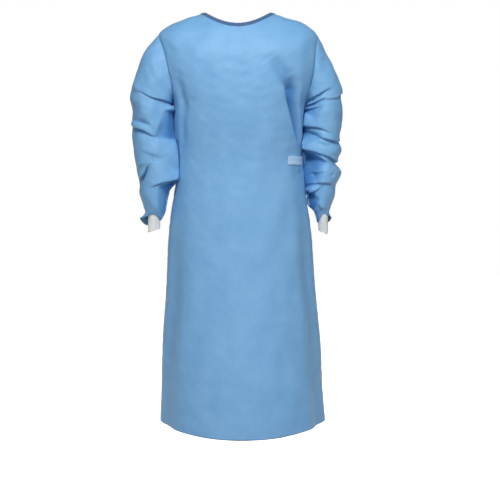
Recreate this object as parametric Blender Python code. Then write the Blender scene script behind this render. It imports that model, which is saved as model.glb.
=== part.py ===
"""Surgical gown: a wrap-back isolation gown in nonwoven cloth, in its worn form.

Each cut piece is a thin closed wall. Its outer face comes from one form: a stack of named rings
round the body, an armhole loop on that form, and named rings down each arm. The wall's inner face
is the same face moved inwards. The origin is at the base of the neck, between the shoulders;
the wearer faces -Y, the wearer's left is +X, and the hem hangs down -Z. Sizes are in metres.
"""
import math
from collections import namedtuple

import bmesh
import bpy
from mathutils import Vector

# Cloth and seams
CLOTH = 0.0012              # wall of the nonwoven cloth
KNIT = 0.0018               # wall of the rib knit
SEAM_GAP = 0.0003           # between two pieces at a seam
STEEPEST_MITRE = 2.0        # most that a wall grows where a seam folds sharply

# Rings round the body, from the neck down. Front and back are measured at the middle of each.
Ring = namedtuple(
    "Ring", "name side_z half_width centre_x front_reach front_z back_reach back_z squareness")
BODY_RINGS = [
    Ring("neck",           0.000, 0.1020, 0.000, 0.090, -0.044, 0.068, -0.026, 2.00),
    Ring("collar",        -0.007, 0.1240, 0.000, 0.097, -0.058, 0.079, -0.040, 2.05),
    Ring("mid_shoulder",  -0.019, 0.1630, 0.000, 0.107, -0.080, 0.093, -0.062, 2.12),
    Ring("shoulder",      -0.036, 0.2060, 0.000, 0.117, -0.108, 0.106, -0.092, 2.20),
    Ring("shoulder_tip",  -0.064, 0.2390, 0.000, 0.126, -0.142, 0.115, -0.128, 2.28),
    Ring("armhole_top",   -0.108, 0.2430, 0.000, 0.131, -0.178, 0.119, -0.168, 2.30),
    Ring("armhole_mid",   -0.165, 0.2390, 0.002, 0.134, -0.216, 0.121, -0.209, 2.30),
    Ring("armhole_low",   -0.227, 0.2210, 0.004, 0.136, -0.253, 0.120, -0.249, 2.28),
    Ring("underarm",      -0.275, 0.2000, 0.0035, 0.137, -0.290, 0.118, -0.287, 2.25),
    Ring("chest",         -0.330, 0.1960, 0.002, 0.136, -0.340, 0.116, -0.338, 2.22),
    Ring("ribs",          -0.385, 0.1930, 0.003, 0.133, -0.391, 0.114, -0.390, 2.20),
    Ring("belt_top",      -0.432, 0.1915, 0.003, 0.131, -0.436, 0.113, -0.435, 2.18),
    Ring("belt_bottom",   -0.460, 0.1920, 0.003, 0.132, -0.464, 0.114, -0.462, 2.18),
    Ring("waist",         -0.520, 0.1975, 0.005, 0.137, -0.524, 0.118, -0.522, 2.16),
    Ring("hip",           -0.600, 0.2095, 0.006, 0.146, -0.605, 0.126, -0.602, 2.14),
    Ring("seat",          -0.690, 0.2190, 0.006, 0.155, -0.697, 0.135, -0.693, 2.12),
    Ring("upper_thigh",   -0.785, 0.2260, 0.007, 0.163, -0.794, 0.142, -0.789, 2.10),
    Ring("thigh",         -0.880, 0.2325, 0.009, 0.171, -0.891, 0.149, -0.885, 2.08),
    Ring("knee",          -0.970, 0.2390, 0.010, 0.179, -0.984, 0.155, -0.976, 2.06),
    Ring("calf",          -1.060, 0.2445, 0.011, 0.187, -1.077, 0.161, -1.067, 2.05),
    Ring("skirt_low",     -1.150, 0.2495, 0.0125, 0.194, -1.170, 0.166, -1.159, 2.05),
    Ring("hem",           -1.237, 0.2530, 0.0135, 0.200, -1.261, 0.170, -1.248, 2.05),
]
SHOULDER_TIP = 4            # where the armhole starts, at the top
UNDERARM = 8                # where it ends
HEM = len(BODY_RINGS) - 1
Opening = namedtuple("Opening", "front back")
ARMHOLES = {-1: Opening(32.0, 32.0), 1: Opening(20.0, 34.0)}   # degrees either way from the side
COLUMN = 9.0                # degrees round the body between two columns of a panel
ARM_COLUMNS = 16            # columns round a sleeve, which the panels' rows meet at the armhole

# The back pieces wrap over each other: the wearer's right back lies outside.
OUTER_EDGE = -210.0         # degrees from the front, where the outer back ends
INNER_EDGE = 205.0          # where the inner back ends, under the outer one
LAP = 0.0045                # how far the outer back stands off the inner one
LAP_START = -126.0
LAP_FULL = -154.0

# Large folds of the body. Places are (degrees from the front, height).
Fold = namedtuple("Fold", "name start end width depth")
BODY_FOLDS = [
    Fold("left_chest_drag",  (22, -0.150), (40, -0.240), 0.060, 0.010),
    Fold("left_side_drag",   (38, -0.235), (77, -0.420), 0.062, 0.017),
    Fold("right_side_drag",  (-48, -0.200), (-60, -0.400), 0.070, 0.006),
    Fold("left_skirt_flute", (62, -0.560), (68, -1.400), 0.110, 0.008),
    Fold("right_skirt_flute", (-58, -0.620), (-66, -1.400), 0.110, 0.008),
    Fold("left_back_flute",  (118, -0.640), (124, -1.400), 0.120, 0.014),
    Fold("right_back_flute", (-116, -0.600), (-122, -1.400), 0.120, 0.014),
    Fold("mid_back_flute",   (-168, -0.560), (-163, -1.400), 0.120, 0.011),
    Fold("right_shoulder_drag", (-112, -0.200), (-136, -0.420), 0.080, 0.007),
]
FOLD_RADIUS = 0.200         # turns degrees round the body into distance along the cloth

# Arms. Caps are planes that fan out from the underarm, arms are level rings below it.
Cap = namedtuple("Cap", "degrees reach")
ArmRing = namedtuple("ArmRing", "name z inner outer centre_y half_depth arch")
Arm = namedtuple("Arm", "side caps rings")
RIGHT_ARM = Arm(
    side=-1,
    caps=[Cap(22, 0.1913), Cap(33, 0.1706), Cap(45, 0.1494), Cap(59, 0.1364), Cap(74, 0.1281),
          Cap(90, 0.1143)],
    rings=[
        ArmRing("below_underarm", -0.335, 0.1995, 0.3190, -0.018, 0.067, 0.0),
        ArmRing("upper_arm",      -0.380, 0.1950, 0.3180, -0.020, 0.067, 0.0),
        ArmRing("above_elbow",    -0.425, 0.1840, 0.3140, -0.023, 0.066, 0.0),
        ArmRing("elbow",          -0.470, 0.1850, 0.3065, -0.027, 0.064, 0.0),
        ArmRing("below_elbow",    -0.512, 0.1920, 0.2975, -0.031, 0.060, 0.0),
        ArmRing("forearm",        -0.545, 0.2080, 0.2960, -0.034, 0.055, 0.0),
        ArmRing("low_forearm",    -0.578, 0.2125, 0.2875, -0.036, 0.047, 0.0),
        ArmRing("above_wrist",    -0.602, 0.2180, 0.2790, -0.037, 0.038, 0.006),
    ],
)
LEFT_ARM = Arm(
    side=1,
    caps=[Cap(22, 0.1718), Cap(33, 0.1511), Cap(45, 0.1374), Cap(59, 0.1241), Cap(74, 0.1110),
          Cap(90, 0.1080)],
    rings=[
        ArmRing("below_underarm", -0.335, 0.2040, 0.3170, 0.014, 0.067, 0.0),
        ArmRing("upper_arm",      -0.378, 0.2020, 0.3080, 0.013, 0.067, 0.0),
        ArmRing("above_elbow",    -0.410, 0.2020, 0.3150, 0.011, 0.066, 0.0),
        ArmRing("elbow",          -0.446, 0.2030, 0.3010, 0.008, 0.064, 0.0),
        ArmRing("elbow_puff",     -0.480, 0.2055, 0.3150, 0.005, 0.062, 0.0),
        ArmRing("below_elbow",    -0.516, 0.2090, 0.3005, 0.002, 0.058, 0.0),
        ArmRing("forearm",        -0.550, 0.2140, 0.2950, 0.000, 0.053, 0.0),
        ArmRing("low_forearm",    -0.582, 0.2215, 0.2835, -0.003, 0.045, 0.0),
        ArmRing("above_wrist",    -0.602, 0.2320, 0.2790, -0.004, 0.036, 0.006),
    ],
)
CAP_STEP_OUT = 0.0012       # each cap's plane starts this much further out at the underarm
CAP_STEP_DOWN = 0.0035      # and this much lower
CAP_CENTRE_Y = {-1: -0.015, 1: 0.014}
CAP_HALF_DEPTH = {-1: 0.071, 1: 0.068}
SLEEVE_CLEARANCE = 0.0045   # between a sleeve and the body that it hangs against

# Cuffs, and the sleeve end that closes round them in a pleat
CuffRing = namedtuple("CuffRing", "name z centre half_width half_depth")
Wrist = namedtuple("Wrist", "z pleat_tip inner_drop arch")
CUFFS = {
    -1: [CuffRing("cuff_top",    -0.6020, 0.2525, 0.0198, 0.0285),
         CuffRing("cuff_middle", -0.6300, 0.2530, 0.0185, 0.0275),
         CuffRing("cuff_end",    -0.6550, 0.2535, 0.0180, 0.0270)],
    1: [CuffRing("cuff_top",    -0.6020, 0.2590, 0.0168, 0.0290),
        CuffRing("cuff_middle", -0.6350, 0.2590, 0.0150, 0.0275),
        CuffRing("cuff_end",    -0.6620, 0.2585, 0.0142, 0.0270)],
}
CUFF_TILT = 0.005           # the cuff end hangs lower on the little finger's side
WRISTS = {-1: Wrist(-0.6220, 0.2970, 0.004, 0.014), 1: Wrist(-0.6200, 0.2860, 0.012, 0.014)}

# Neck binding: a strip folded over the neck edge
BINDING_LEG = 0.010
BINDING_WALL = 0.0010
BINDING_CLEARANCE = 0.0004

# Belt: a strip from the front round the wearer's left side, tied behind it
BELT_WIDTH = 0.027
BELT_WALL = 0.0012
BELT_LIFT = 0.0010          # belt above the body's form
BELT_STEP = 4.5             # degrees between two columns of the belt
BELT_START, KNOT_START, KNOT_END = 48.0, 124.0, 132.0
BELT_BACK_START = 156.0     # on the outer back, just inside its edge at 150
KNOT_CLEARANCE = 0.25       # degrees between the knot and each strip
KNOT_HEIGHT = 0.034
KNOT_DEPTH = 0.018
TAIL_STEP = 0.030
Tail = namedtuple("Tail", "name degrees drift length")
TAILS = [Tail("belt_tail_front", 125.0, -5.0, 0.250), Tail("belt_tail_back", 131.0, 4.0, 0.215)]
TAIL_LIFT = 0.0030

# Neck closure: touch-tape patches at the back neck
Patch = namedtuple("Patch", "name start end top bottom lift wall edge_lift")
NECK_PATCHES = [
    Patch("neck_tab_loop", 122.0, 144.0, 0.70, 1.55, 0.0010, 0.0010, 0.0),
    Patch("neck_tab_hook", 126.0, 160.0, 0.72, 1.53, 0.0026, 0.0010, 0.0028),
]

# Colours, roughness
BLUE_CLOTH = ((0.20, 0.45, 0.72, 1.0), 0.75)
DARK_BINDING = ((0.07, 0.14, 0.30, 1.0), 0.80)
WHITE_KNIT = ((0.84, 0.84, 0.83, 1.0), 0.90)
BELT_CLOTH = ((0.31, 0.51, 0.76, 1.0), 0.75)
TAPE = ((0.80, 0.84, 0.90, 1.0), 0.90)


def smooth_step(value, start, end):
    """0 before start, 1 after end, and a smooth rise between."""
    t = min(max((value - start) / (end - start), 0.0), 1.0)
    return t * t * (3 - 2 * t)


def body_ring(row):
    """A ring between the named ones, on a smooth curve through each column of the table."""
    first = min(int(row), HEM - 1)
    t = row - first
    a, b, c, d = (BODY_RINGS[min(max(first + k, 0), HEM)][1:] for k in (-1, 0, 1, 2))
    sizes = [
        0.5 * (2 * q + (r - p) * t + (2 * p - 5 * q + 4 * r - s) * t ** 2
               + (3 * q - p - 3 * r + s) * t ** 3)
        for p, q, r, s in zip(a, b, c, d)
    ]
    return Ring("between", *sizes)


def row_at_height(z):
    """The row whose side is at a height."""
    low, high = 0.0, float(HEM)
    for _ in range(24):
        middle = (low + high) / 2
        if body_ring(middle).side_z > z:
            low = middle
        else:
            high = middle
    return (low + high) / 2


def fold_depth(degrees, z):
    """How far the large folds press the body in at a place."""
    depth = 0.0
    for fold in BODY_FOLDS:
        turn = math.radians(fold.end[0] - fold.start[0]) * FOLD_RADIUS
        run = Vector((turn, fold.end[1] - fold.start[1]))
        round_body = (degrees - fold.start[0] + 180) % 360 - 180
        here = Vector((math.radians(round_body) * FOLD_RADIUS, z - fold.start[1]))
        along = min(max(here.dot(run) / run.length_squared, 0.0), 1.0)
        away = (here - run * along).length / (fold.width / 2)
        if away < 1:
            fade = smooth_step(along, -0.1, 0.25) * (1 - smooth_step(along, 0.85, 1.15))
            depth += fold.depth * fade * (0.5 + 0.5 * math.cos(math.pi * away))
    return depth


def smooth_body(row, degrees):
    """A point of the body's form with no folds."""
    ring = body_ring(row)
    angle = math.radians(degrees)
    sideways = abs(math.sin(angle)) ** (2 / ring.squareness)
    forwards = abs(math.cos(angle)) ** (2 / ring.squareness)
    x = ring.centre_x + math.copysign(ring.half_width * sideways, math.sin(angle))
    front = math.cos(angle) > 0
    y = -ring.front_reach * forwards if front else ring.back_reach * forwards
    middle_z = ring.front_z if front else ring.back_z
    return Vector((x, y, ring.side_z * sideways ** 2 + middle_z * (1 - sideways ** 2)))


def body_normal(row, degrees):
    """The way out of the body's form."""
    low, high = max(row - 0.05, 0.0), min(row + 0.05, float(HEM))
    down = smooth_body(high, degrees) - smooth_body(low, degrees)
    round_body = smooth_body(row, degrees + 1) - smooth_body(row, degrees - 1)
    return down.cross(round_body).normalized()


def body(row, degrees, lift=0.0, folded=True):
    """A point of the gown's outer face, or a lift away from it."""
    point = smooth_body(row, degrees)
    fold = fold_depth(degrees, point.z) if folded else 0.0
    return point + body_normal(row, degrees) * (lift - fold)


def lap(degrees):
    """How far the outer back stands off the form."""
    return LAP * smooth_step(-degrees, -LAP_START, -LAP_FULL)


def armhole_share(row):
    """0 at the armhole's ends, up to 1 half way down it, where it is widest."""
    if not SHOULDER_TIP < row < UNDERARM:
        return 0.0
    cosine = 1 - 2 * (row - SHOULDER_TIP) / (UNDERARM - SHOULDER_TIP)
    return math.sqrt(1 - cosine ** 2)


def armhole(side, turn):
    """A point of the armhole's loop. Turn 0 is the top, and a quarter turn is the front."""
    row = SHOULDER_TIP + (UNDERARM - SHOULDER_TIP) * (1 - math.cos(turn)) / 2
    opening = ARMHOLES[side].front if math.sin(turn) > 0 else ARMHOLES[side].back
    return body(row, side * (90 - opening * math.sin(turn)))


def panel_rows():
    """Rows from neck to hem, with the sleeve's own columns where the armhole is."""
    steps = ARM_COLUMNS // 2
    armhole_rows = [
        SHOULDER_TIP + (UNDERARM - SHOULDER_TIP) * (1 - math.cos(math.pi * k / steps)) / 2
        for k in range(1, steps)
    ]
    return ([float(k) for k in range(SHOULDER_TIP + 1)] + armhole_rows
            + [float(k) for k in range(UNDERARM, HEM + 1)])


def front_points():
    """Rows of points from the wearer's right side seam to the left one."""
    columns = round(180 / COLUMN)
    rows = []
    for row in panel_rows():
        start, end = (side * (90 - ARMHOLES[side].front * armhole_share(row)) for side in (-1, 1))
        angles = [start + (end - start) * k / columns for k in range(columns + 1)]
        rows.append([body(row, angle) for angle in angles])
    return rows


def back_points(side, free_edge, lift_of):
    """Rows from a side seam round to the free edge of one back piece."""
    columns = round((abs(free_edge) - 90) / COLUMN)
    rows = []
    for row in panel_rows():
        start = side * (90 + ARMHOLES[side].back * armhole_share(row))
        angles = [start + (free_edge - start) * k / columns for k in range(columns + 1)]
        rows.append([body(row, angle, lift_of(angle)) for angle in angles])
    return rows


def clear_of_body(point):
    """The point, moved out just clear of the body's form if it is nearer than that."""
    ring = body_ring(row_at_height(point.z))
    width = ring.half_width + SLEEVE_CLEARANCE
    depth = (ring.front_reach if point.y < 0 else ring.back_reach) + SLEEVE_CLEARANCE
    across = point.x - ring.centre_x
    nearness = ((abs(across) / width) ** ring.squareness
                + (abs(point.y) / depth) ** ring.squareness) ** (1 / ring.squareness)
    if nearness >= 1:
        return point
    return Vector((ring.centre_x + across / nearness, point.y / nearness, point.z))


def cap_ring(arm, number, cap):
    """A ring of the sleeve head, in a plane that fans out from the underarm."""
    underarm = armhole(arm.side, math.pi)
    step = number + 1
    start = underarm + Vector((arm.side * CAP_STEP_OUT * step, 0, -CAP_STEP_DOWN * step))
    slope = math.radians(cap.degrees)
    outwards = Vector((arm.side * math.sin(slope), 0, math.cos(slope)))
    ring = []
    for k in range(ARM_COLUMNS + 1):
        turn = 2 * math.pi * k / ARM_COLUMNS
        y = CAP_CENTRE_Y[arm.side] - CAP_HALF_DEPTH[arm.side] * math.sin(turn)
        point = start + outwards * (cap.reach * (1 + math.cos(turn)) / 2)
        ring.append(Vector((point.x, y, point.z)))
    return ring


def arm_ring(arm, ring):
    """A level ring of the sleeve, clear of the body."""
    centre = (ring.inner + ring.outer) / 2
    half_width = (ring.outer - ring.inner) / 2
    points = []
    for k in range(ARM_COLUMNS + 1):
        turn = 2 * math.pi * k / ARM_COLUMNS
        x = arm.side * (centre + half_width * math.cos(turn))
        y = ring.centre_y - ring.half_depth * math.sin(turn)
        points.append(clear_of_body(Vector((x, y, ring.z + ring.arch * math.sin(turn) ** 2))))
    return points


def cuff_point(side, ring, turn, grow=0.0):
    """A point of a cuff's outer face, or a distance outside it."""
    centre_y = (RIGHT_ARM if side < 0 else LEFT_ARM).rings[-1].centre_y
    x = side * (ring.centre + (ring.half_width + grow) * math.cos(turn))
    return Vector((x, centre_y - (ring.half_depth + grow) * math.sin(turn), ring.z))


def wrist_ring(arm):
    """The sleeve's end: close round the cuff, with the spare width folded out as a pleat."""
    top, middle = CUFFS[arm.side][:2]
    wrist = WRISTS[arm.side]
    points = []
    for k in range(ARM_COLUMNS + 1):
        turn = 2 * math.pi * k / ARM_COLUMNS
        z = wrist.z + wrist.arch * math.sin(turn) ** 2 - wrist.inner_drop * max(-math.cos(turn), 0)
        share = (z - top.z) / (middle.z - top.z)
        there = CuffRing("wrist", *(p + (q - p) * share for p, q in zip(top[1:], middle[1:])))
        point = cuff_point(arm.side, there, turn, SEAM_GAP + CLOTH)
        if k in (0, ARM_COLUMNS):
            point.x = arm.side * wrist.pleat_tip
        points.append(point)
    return points


def sleeve_points(arm):
    """Rings of points from the armhole down to the wrist."""
    rings = [[armhole(arm.side, 2 * math.pi * k / ARM_COLUMNS) for k in range(ARM_COLUMNS + 1)]]
    rings += [cap_ring(arm, number, cap) for number, cap in enumerate(arm.caps)]
    rings += [arm_ring(arm, ring) for ring in arm.rings]
    rings.append(wrist_ring(arm))
    return rings


def face_out(points, inside):
    """The rows, turned over if their faces would point towards an inside point."""
    middle_row, middle = len(points) // 2, len(points[0]) // 2
    here = points[middle_row][middle]
    across = points[middle_row][middle + 1] - here
    down = points[middle_row + 1][middle] - here
    if across.cross(down).dot(here - inside) < 0:
        return [list(reversed(row)) for row in points]
    return points


def point_key(point):
    return tuple(round(value, 5) for value in point)


def outward_normals(points):
    """A normal at each point, from the faces round it."""
    normals = {}
    for upper, lower in zip(points, points[1:]):
        for a, b, c, d in zip(upper, upper[1:], lower[1:], lower):
            face = (c - a).cross(d - b)
            for corner in (a, b, c, d):
                key = point_key(corner)
                normals[key] = normals.get(key, Vector()) + face
    return normals


def inner_face(points, normals, wall):
    """The points moved inwards by a wall, further where the cloth turns sharply."""
    own = outward_normals(points)
    rows = []
    for row in points:
        inner = []
        for point in row:
            key = point_key(point)
            out = normals[key].normalized()
            turned = max(out.dot(own[key].normalized()), 1 / STEEPEST_MITRE)
            inner.append(point - out * (wall / turned))
        rows.append(inner)
    return rows


def drawn_back(points, edges):
    """The points, with the named edges drawn back by half a seam's gap."""
    rows = [list(row) for row in points]
    half_gap = SEAM_GAP / 2

    def step(edge, inside):
        return (inside - edge).normalized() * half_gap

    for number, row in enumerate(points):
        if "left" in edges:
            rows[number][0] = rows[number][0] + step(row[0], row[1])
        if "right" in edges:
            rows[number][-1] = rows[number][-1] + step(row[-1], row[-2])
    if "top" in edges:
        rows[0] = [p + step(a, b) for p, a, b in zip(rows[0], points[0], points[1])]
    return rows


def wall_mesh(name, outer, inner):
    """A closed wall between two like grids of points. Grids whose ends meet make a tube."""
    rows, columns = len(outer), len(outer[0])
    mesh = bmesh.new()
    bmesh.ops.create_grid(mesh, x_segments=columns - 1, y_segments=rows - 1, size=1)
    mesh.verts.ensure_lookup_table()
    place = mesh.verts.layers.int.new("place")
    flat_outer = [point for row in outer for point in row]
    flat_inner = [point for row in inner for point in row]
    for number, vert in enumerate(mesh.verts):
        vert[place] = number
        vert.co = flat_outer[number]
    bmesh.ops.remove_doubles(mesh, verts=mesh.verts[:], dist=1e-6)
    grown = bmesh.ops.extrude_face_region(mesh, geom=mesh.faces[:])
    for vert in grown["geom"]:
        if isinstance(vert, bmesh.types.BMVert):
            vert.co = flat_inner[vert[place]]
    bmesh.ops.recalc_face_normals(mesh, faces=mesh.faces[:])
    data = bpy.data.meshes.new(name)
    mesh.to_mesh(data)
    mesh.free()
    data.shade_smooth()
    data.set_sharp_from_angle(angle=math.radians(50))
    return data


def material(name, look):
    colour, roughness = look
    made = bpy.data.materials.new(name)
    made.use_nodes = True
    shader = made.node_tree.nodes["Principled BSDF"]
    shader.inputs["Base Color"].default_value = colour
    shader.inputs["Roughness"].default_value = roughness
    shader.inputs["Metallic"].default_value = 0.0
    made.diffuse_color = colour
    return made


def add_piece(gown, name, mesh, look):
    piece = bpy.data.objects.new(name, mesh)
    mesh.materials.append(material(name + "_cloth", look))
    gown.objects.link(piece)
    return piece


def strip(name, path, wall):
    """A flat strip whose edge points, outwards normal and down are given along its path."""
    outer = [[point + out * wall for point in points] for points, out in path]
    inner = [list(points) for points, out in path]
    return wall_mesh(name, outer, inner)


def crease_room(point, of_body, of_arms):
    """How far a sleeve's edge moves off the body where the seam folds back on itself."""
    body_out = of_body[point_key(point)].normalized()
    arm_out = of_arms[point_key(point)].normalized()
    return body_out * (SEAM_GAP * max(-body_out.dot(arm_out), 0.0))


def add_panels(gown):
    """Front, backs and sleeves, whose walls share one normal wherever they meet."""
    inside_body, inside_arm = Vector((0, 0, -0.5)), 0.26
    sheets = {
        "front_panel": (front_points(), inside_body, ("left", "right")),
        "back_panel_right": (back_points(-1, OUTER_EDGE, lap), inside_body, ("seam",)),
        "back_panel_left": (back_points(1, INNER_EDGE, lambda angle: 0.0), inside_body, ("seam",)),
        "sleeve_right": (sleeve_points(RIGHT_ARM), Vector((-inside_arm, -0.02, -0.4)), ("top",)),
        "sleeve_left": (sleeve_points(LEFT_ARM), Vector((inside_arm, 0.0, -0.4)), ("top",)),
    }
    of_body, of_arms = {}, {}
    turned = {}
    for name, (points, inside, edges) in sheets.items():
        facing = face_out(points, inside)
        if "seam" in edges:
            edges = ("left",) if facing is points else ("right",)
        turned[name] = (facing, edges)
        normals = of_arms if "sleeve" in name else of_body
        for key, normal in outward_normals(facing).items():
            normals[key] = normals.get(key, Vector()) + normal.normalized()
    shared = {
        key: of_body.get(key, Vector()).normalized() + of_arms.get(key, Vector()).normalized()
        for key in of_body.keys() | of_arms.keys()
    }
    for name, (points, edges) in turned.items():
        outer = drawn_back(points, edges)
        if "sleeve" in name:
            outer[0] = [p + crease_room(q, of_body, of_arms) for p, q in zip(outer[0], points[0])]
        moves = [[b - a for a, b in zip(was, now)] for was, now in zip(points, outer)]
        inner = inner_face(points, shared, CLOTH)
        inner = [[p + move for p, move in zip(row, steps)] for row, steps in zip(inner, moves)]
        add_piece(gown, name, wall_mesh(name, outer, inner), BLUE_CLOTH)


def add_cuffs(gown):
    for side, name in ((-1, "cuff_right"), (1, "cuff_left")):
        outer, inner = [], []
        for ring in CUFFS[side]:
            tilt = CUFF_TILT if ring.name == "cuff_end" else 0.0
            for rows, grow in ((outer, 0.0), (inner, -KNIT)):
                row = []
                for k in range(ARM_COLUMNS + 1):
                    turn = 2 * math.pi * k / ARM_COLUMNS
                    point = cuff_point(side, ring, turn, grow)
                    row.append(point - Vector((0, 0, tilt * math.cos(turn))))
                rows.append(row)
        add_piece(gown, name, wall_mesh(name, outer, inner), WHITE_KNIT)


def neck_stations():
    """Edge point, point one ring down and lift, from the inner back's edge to the outer's."""
    left = back_points(1, INNER_EDGE, lambda angle: 0.0)[:2]
    front = front_points()[:2]
    right = back_points(-1, OUTER_EDGE, lap)[:2]
    edges = [list(reversed(left[k])) + list(reversed(front[k]))[1:] + right[k][1:] for k in (0, 1)]
    return list(zip(*edges))


def add_neck_binding(gown):
    """A strip folded over the neck edge: outer leg, fold and inner leg at each station."""
    near, far = BINDING_CLEARANCE, BINDING_CLEARANCE + BINDING_WALL
    stations = neck_stations()
    outer, inner = [], []
    for number, (edge, below) in enumerate(stations):
        before = stations[max(number - 1, 0)][0]
        after = stations[min(number + 1, len(stations) - 1)][0]
        down = (below - edge).normalized()
        out = (after - before).cross(down).normalized()
        if out.dot(Vector((edge.x, edge.y, 0.05))) < 0:
            out = -out
        for rows, gap in ((outer, far), (inner, near)):
            rows.append([
                edge + out * gap + down * BINDING_LEG,
                edge + out * gap - down * gap,
                edge - out * (CLOTH + gap) - down * gap,
                edge - out * (CLOTH + gap) + down * BINDING_LEG,
            ])
    add_piece(gown, "neck_binding", wall_mesh("neck_binding", outer, inner), DARK_BINDING)


def belt_path(start, end, lift_of):
    """Columns of a belt strip round the body, each with its outwards normal."""
    columns = max(round(abs(end - start) / BELT_STEP), 1)
    top, bottom = row_at_height(-0.4325), row_at_height(-0.4325 - BELT_WIDTH)
    path = []
    for k in range(columns + 1):
        degrees = start + (end - start) * k / columns
        points = [body(row, degrees, lift_of(degrees), folded=False) for row in (top, bottom)]
        path.append((points, body_normal((top + bottom) / 2, degrees)))
    return path


def add_belt(gown):
    weld_lift = LAP + 2 * SEAM_GAP

    def front_lift(degrees):
        return SEAM_GAP + (BELT_LIFT - SEAM_GAP) * smooth_step(degrees, 52.0, 66.0)

    def back_lift(degrees):
        return BELT_LIFT + (weld_lift - BELT_LIFT) * smooth_step(degrees, KNOT_END, 149)

    front = belt_path(BELT_START, KNOT_START - KNOT_CLEARANCE, front_lift)
    back = belt_path(KNOT_END + KNOT_CLEARANCE, BELT_BACK_START, back_lift)
    add_piece(gown, "belt_front_tie", strip("belt_front_tie", front, BELT_WALL), BELT_CLOTH)
    add_piece(gown, "belt_back_tie", strip("belt_back_tie", back, BELT_WALL), BELT_CLOTH)
    add_knot(gown)
    for tail in TAILS:
        add_tail(gown, tail)


def knot_rows():
    middle = -0.4325 - BELT_WIDTH / 2
    return [middle + KNOT_HEIGHT * (0.5 - k / 4) for k in range(5)]


def add_knot(gown):
    """A plain swelling between the two ties."""
    outer, inner = [], []
    for across, z in enumerate(knot_rows()):
        row = row_at_height(z)
        outer.append([])
        inner.append([])
        for k in range(5):
            degrees = KNOT_START + (KNOT_END - KNOT_START) * k / 4
            swell = math.sin(math.pi * (across + 0.5) / 5) * math.sin(math.pi * (k + 0.5) / 5)
            inner[-1].append(body(row, degrees, BELT_LIFT, folded=False))
            outer[-1].append(body(row, degrees, BELT_LIFT + KNOT_DEPTH * swell, folded=False))
    add_piece(gown, "belt_knot", wall_mesh("belt_knot", outer, inner), BELT_CLOTH)


def add_tail(gown, tail):
    """One free end of the belt, hanging from the knot against the skirt."""
    top = knot_rows()[-1] - SEAM_GAP
    steps = round(tail.length / TAIL_STEP)
    half_width = math.degrees(BELT_WIDTH / 2 / FOLD_RADIUS) * 0.9
    path = []
    for k in range(steps + 1):
        row = row_at_height(top - tail.length * k / steps)
        middle = tail.degrees + tail.drift * (k / steps)
        spread = half_width * (0.45 + 0.55 * smooth_step(k / steps, 0.0, 0.2))
        points = [body(row, middle + spread * side, TAIL_LIFT, folded=False) for side in (-1, 1)]
        path.append((points, body_normal(row, middle)))
    add_piece(gown, tail.name, strip(tail.name, path, BELT_WALL), BELT_CLOTH)


def add_neck_patches(gown):
    for patch in NECK_PATCHES:
        outer, inner = [], []
        for k in range(4):
            row = patch.top + (patch.bottom - patch.top) * k / 3
            outer.append([])
            inner.append([])
            for m in range(9):
                degrees = patch.start + (patch.end - patch.start) * m / 8
                lift = patch.lift + patch.edge_lift * smooth_step(degrees, 144.0, 149.0)
                inner[-1].append(body(row, degrees, lift, folded=False))
                outer[-1].append(body(row, degrees, lift + patch.wall, folded=False))
        add_piece(gown, patch.name, wall_mesh(patch.name, outer, inner), TAPE)


def main():
    for thing in list(bpy.data.objects):
        bpy.data.objects.remove(thing)
    gown = bpy.data.collections.new("surgical_gown")
    bpy.context.scene.collection.children.link(gown)
    add_panels(gown)
    add_cuffs(gown)
    add_neck_binding(gown)
    add_belt(gown)
    add_neck_patches(gown)


main()
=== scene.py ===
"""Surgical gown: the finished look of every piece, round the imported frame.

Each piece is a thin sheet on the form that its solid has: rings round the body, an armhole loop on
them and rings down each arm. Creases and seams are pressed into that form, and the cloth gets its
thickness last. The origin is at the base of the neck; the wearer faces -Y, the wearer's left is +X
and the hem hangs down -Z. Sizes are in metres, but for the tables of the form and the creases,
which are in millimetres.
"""

import math
from collections import namedtuple

import bmesh
import bpy
import numpy as np
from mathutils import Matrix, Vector


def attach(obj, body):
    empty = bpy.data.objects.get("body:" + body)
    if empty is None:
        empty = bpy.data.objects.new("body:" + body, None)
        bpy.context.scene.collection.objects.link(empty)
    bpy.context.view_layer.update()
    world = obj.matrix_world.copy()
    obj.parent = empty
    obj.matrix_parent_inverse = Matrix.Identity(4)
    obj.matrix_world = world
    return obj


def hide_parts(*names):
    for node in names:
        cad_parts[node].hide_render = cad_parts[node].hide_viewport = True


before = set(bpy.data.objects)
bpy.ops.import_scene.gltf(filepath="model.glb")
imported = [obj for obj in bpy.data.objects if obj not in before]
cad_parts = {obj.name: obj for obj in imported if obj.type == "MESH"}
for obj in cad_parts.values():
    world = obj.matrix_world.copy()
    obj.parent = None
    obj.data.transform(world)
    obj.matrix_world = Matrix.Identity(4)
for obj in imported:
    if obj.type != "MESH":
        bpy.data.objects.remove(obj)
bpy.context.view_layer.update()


def in_metres(sizes):
    """Sizes given in millimetres, in metres."""
    return [size / 1000 for size in sizes]


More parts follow.
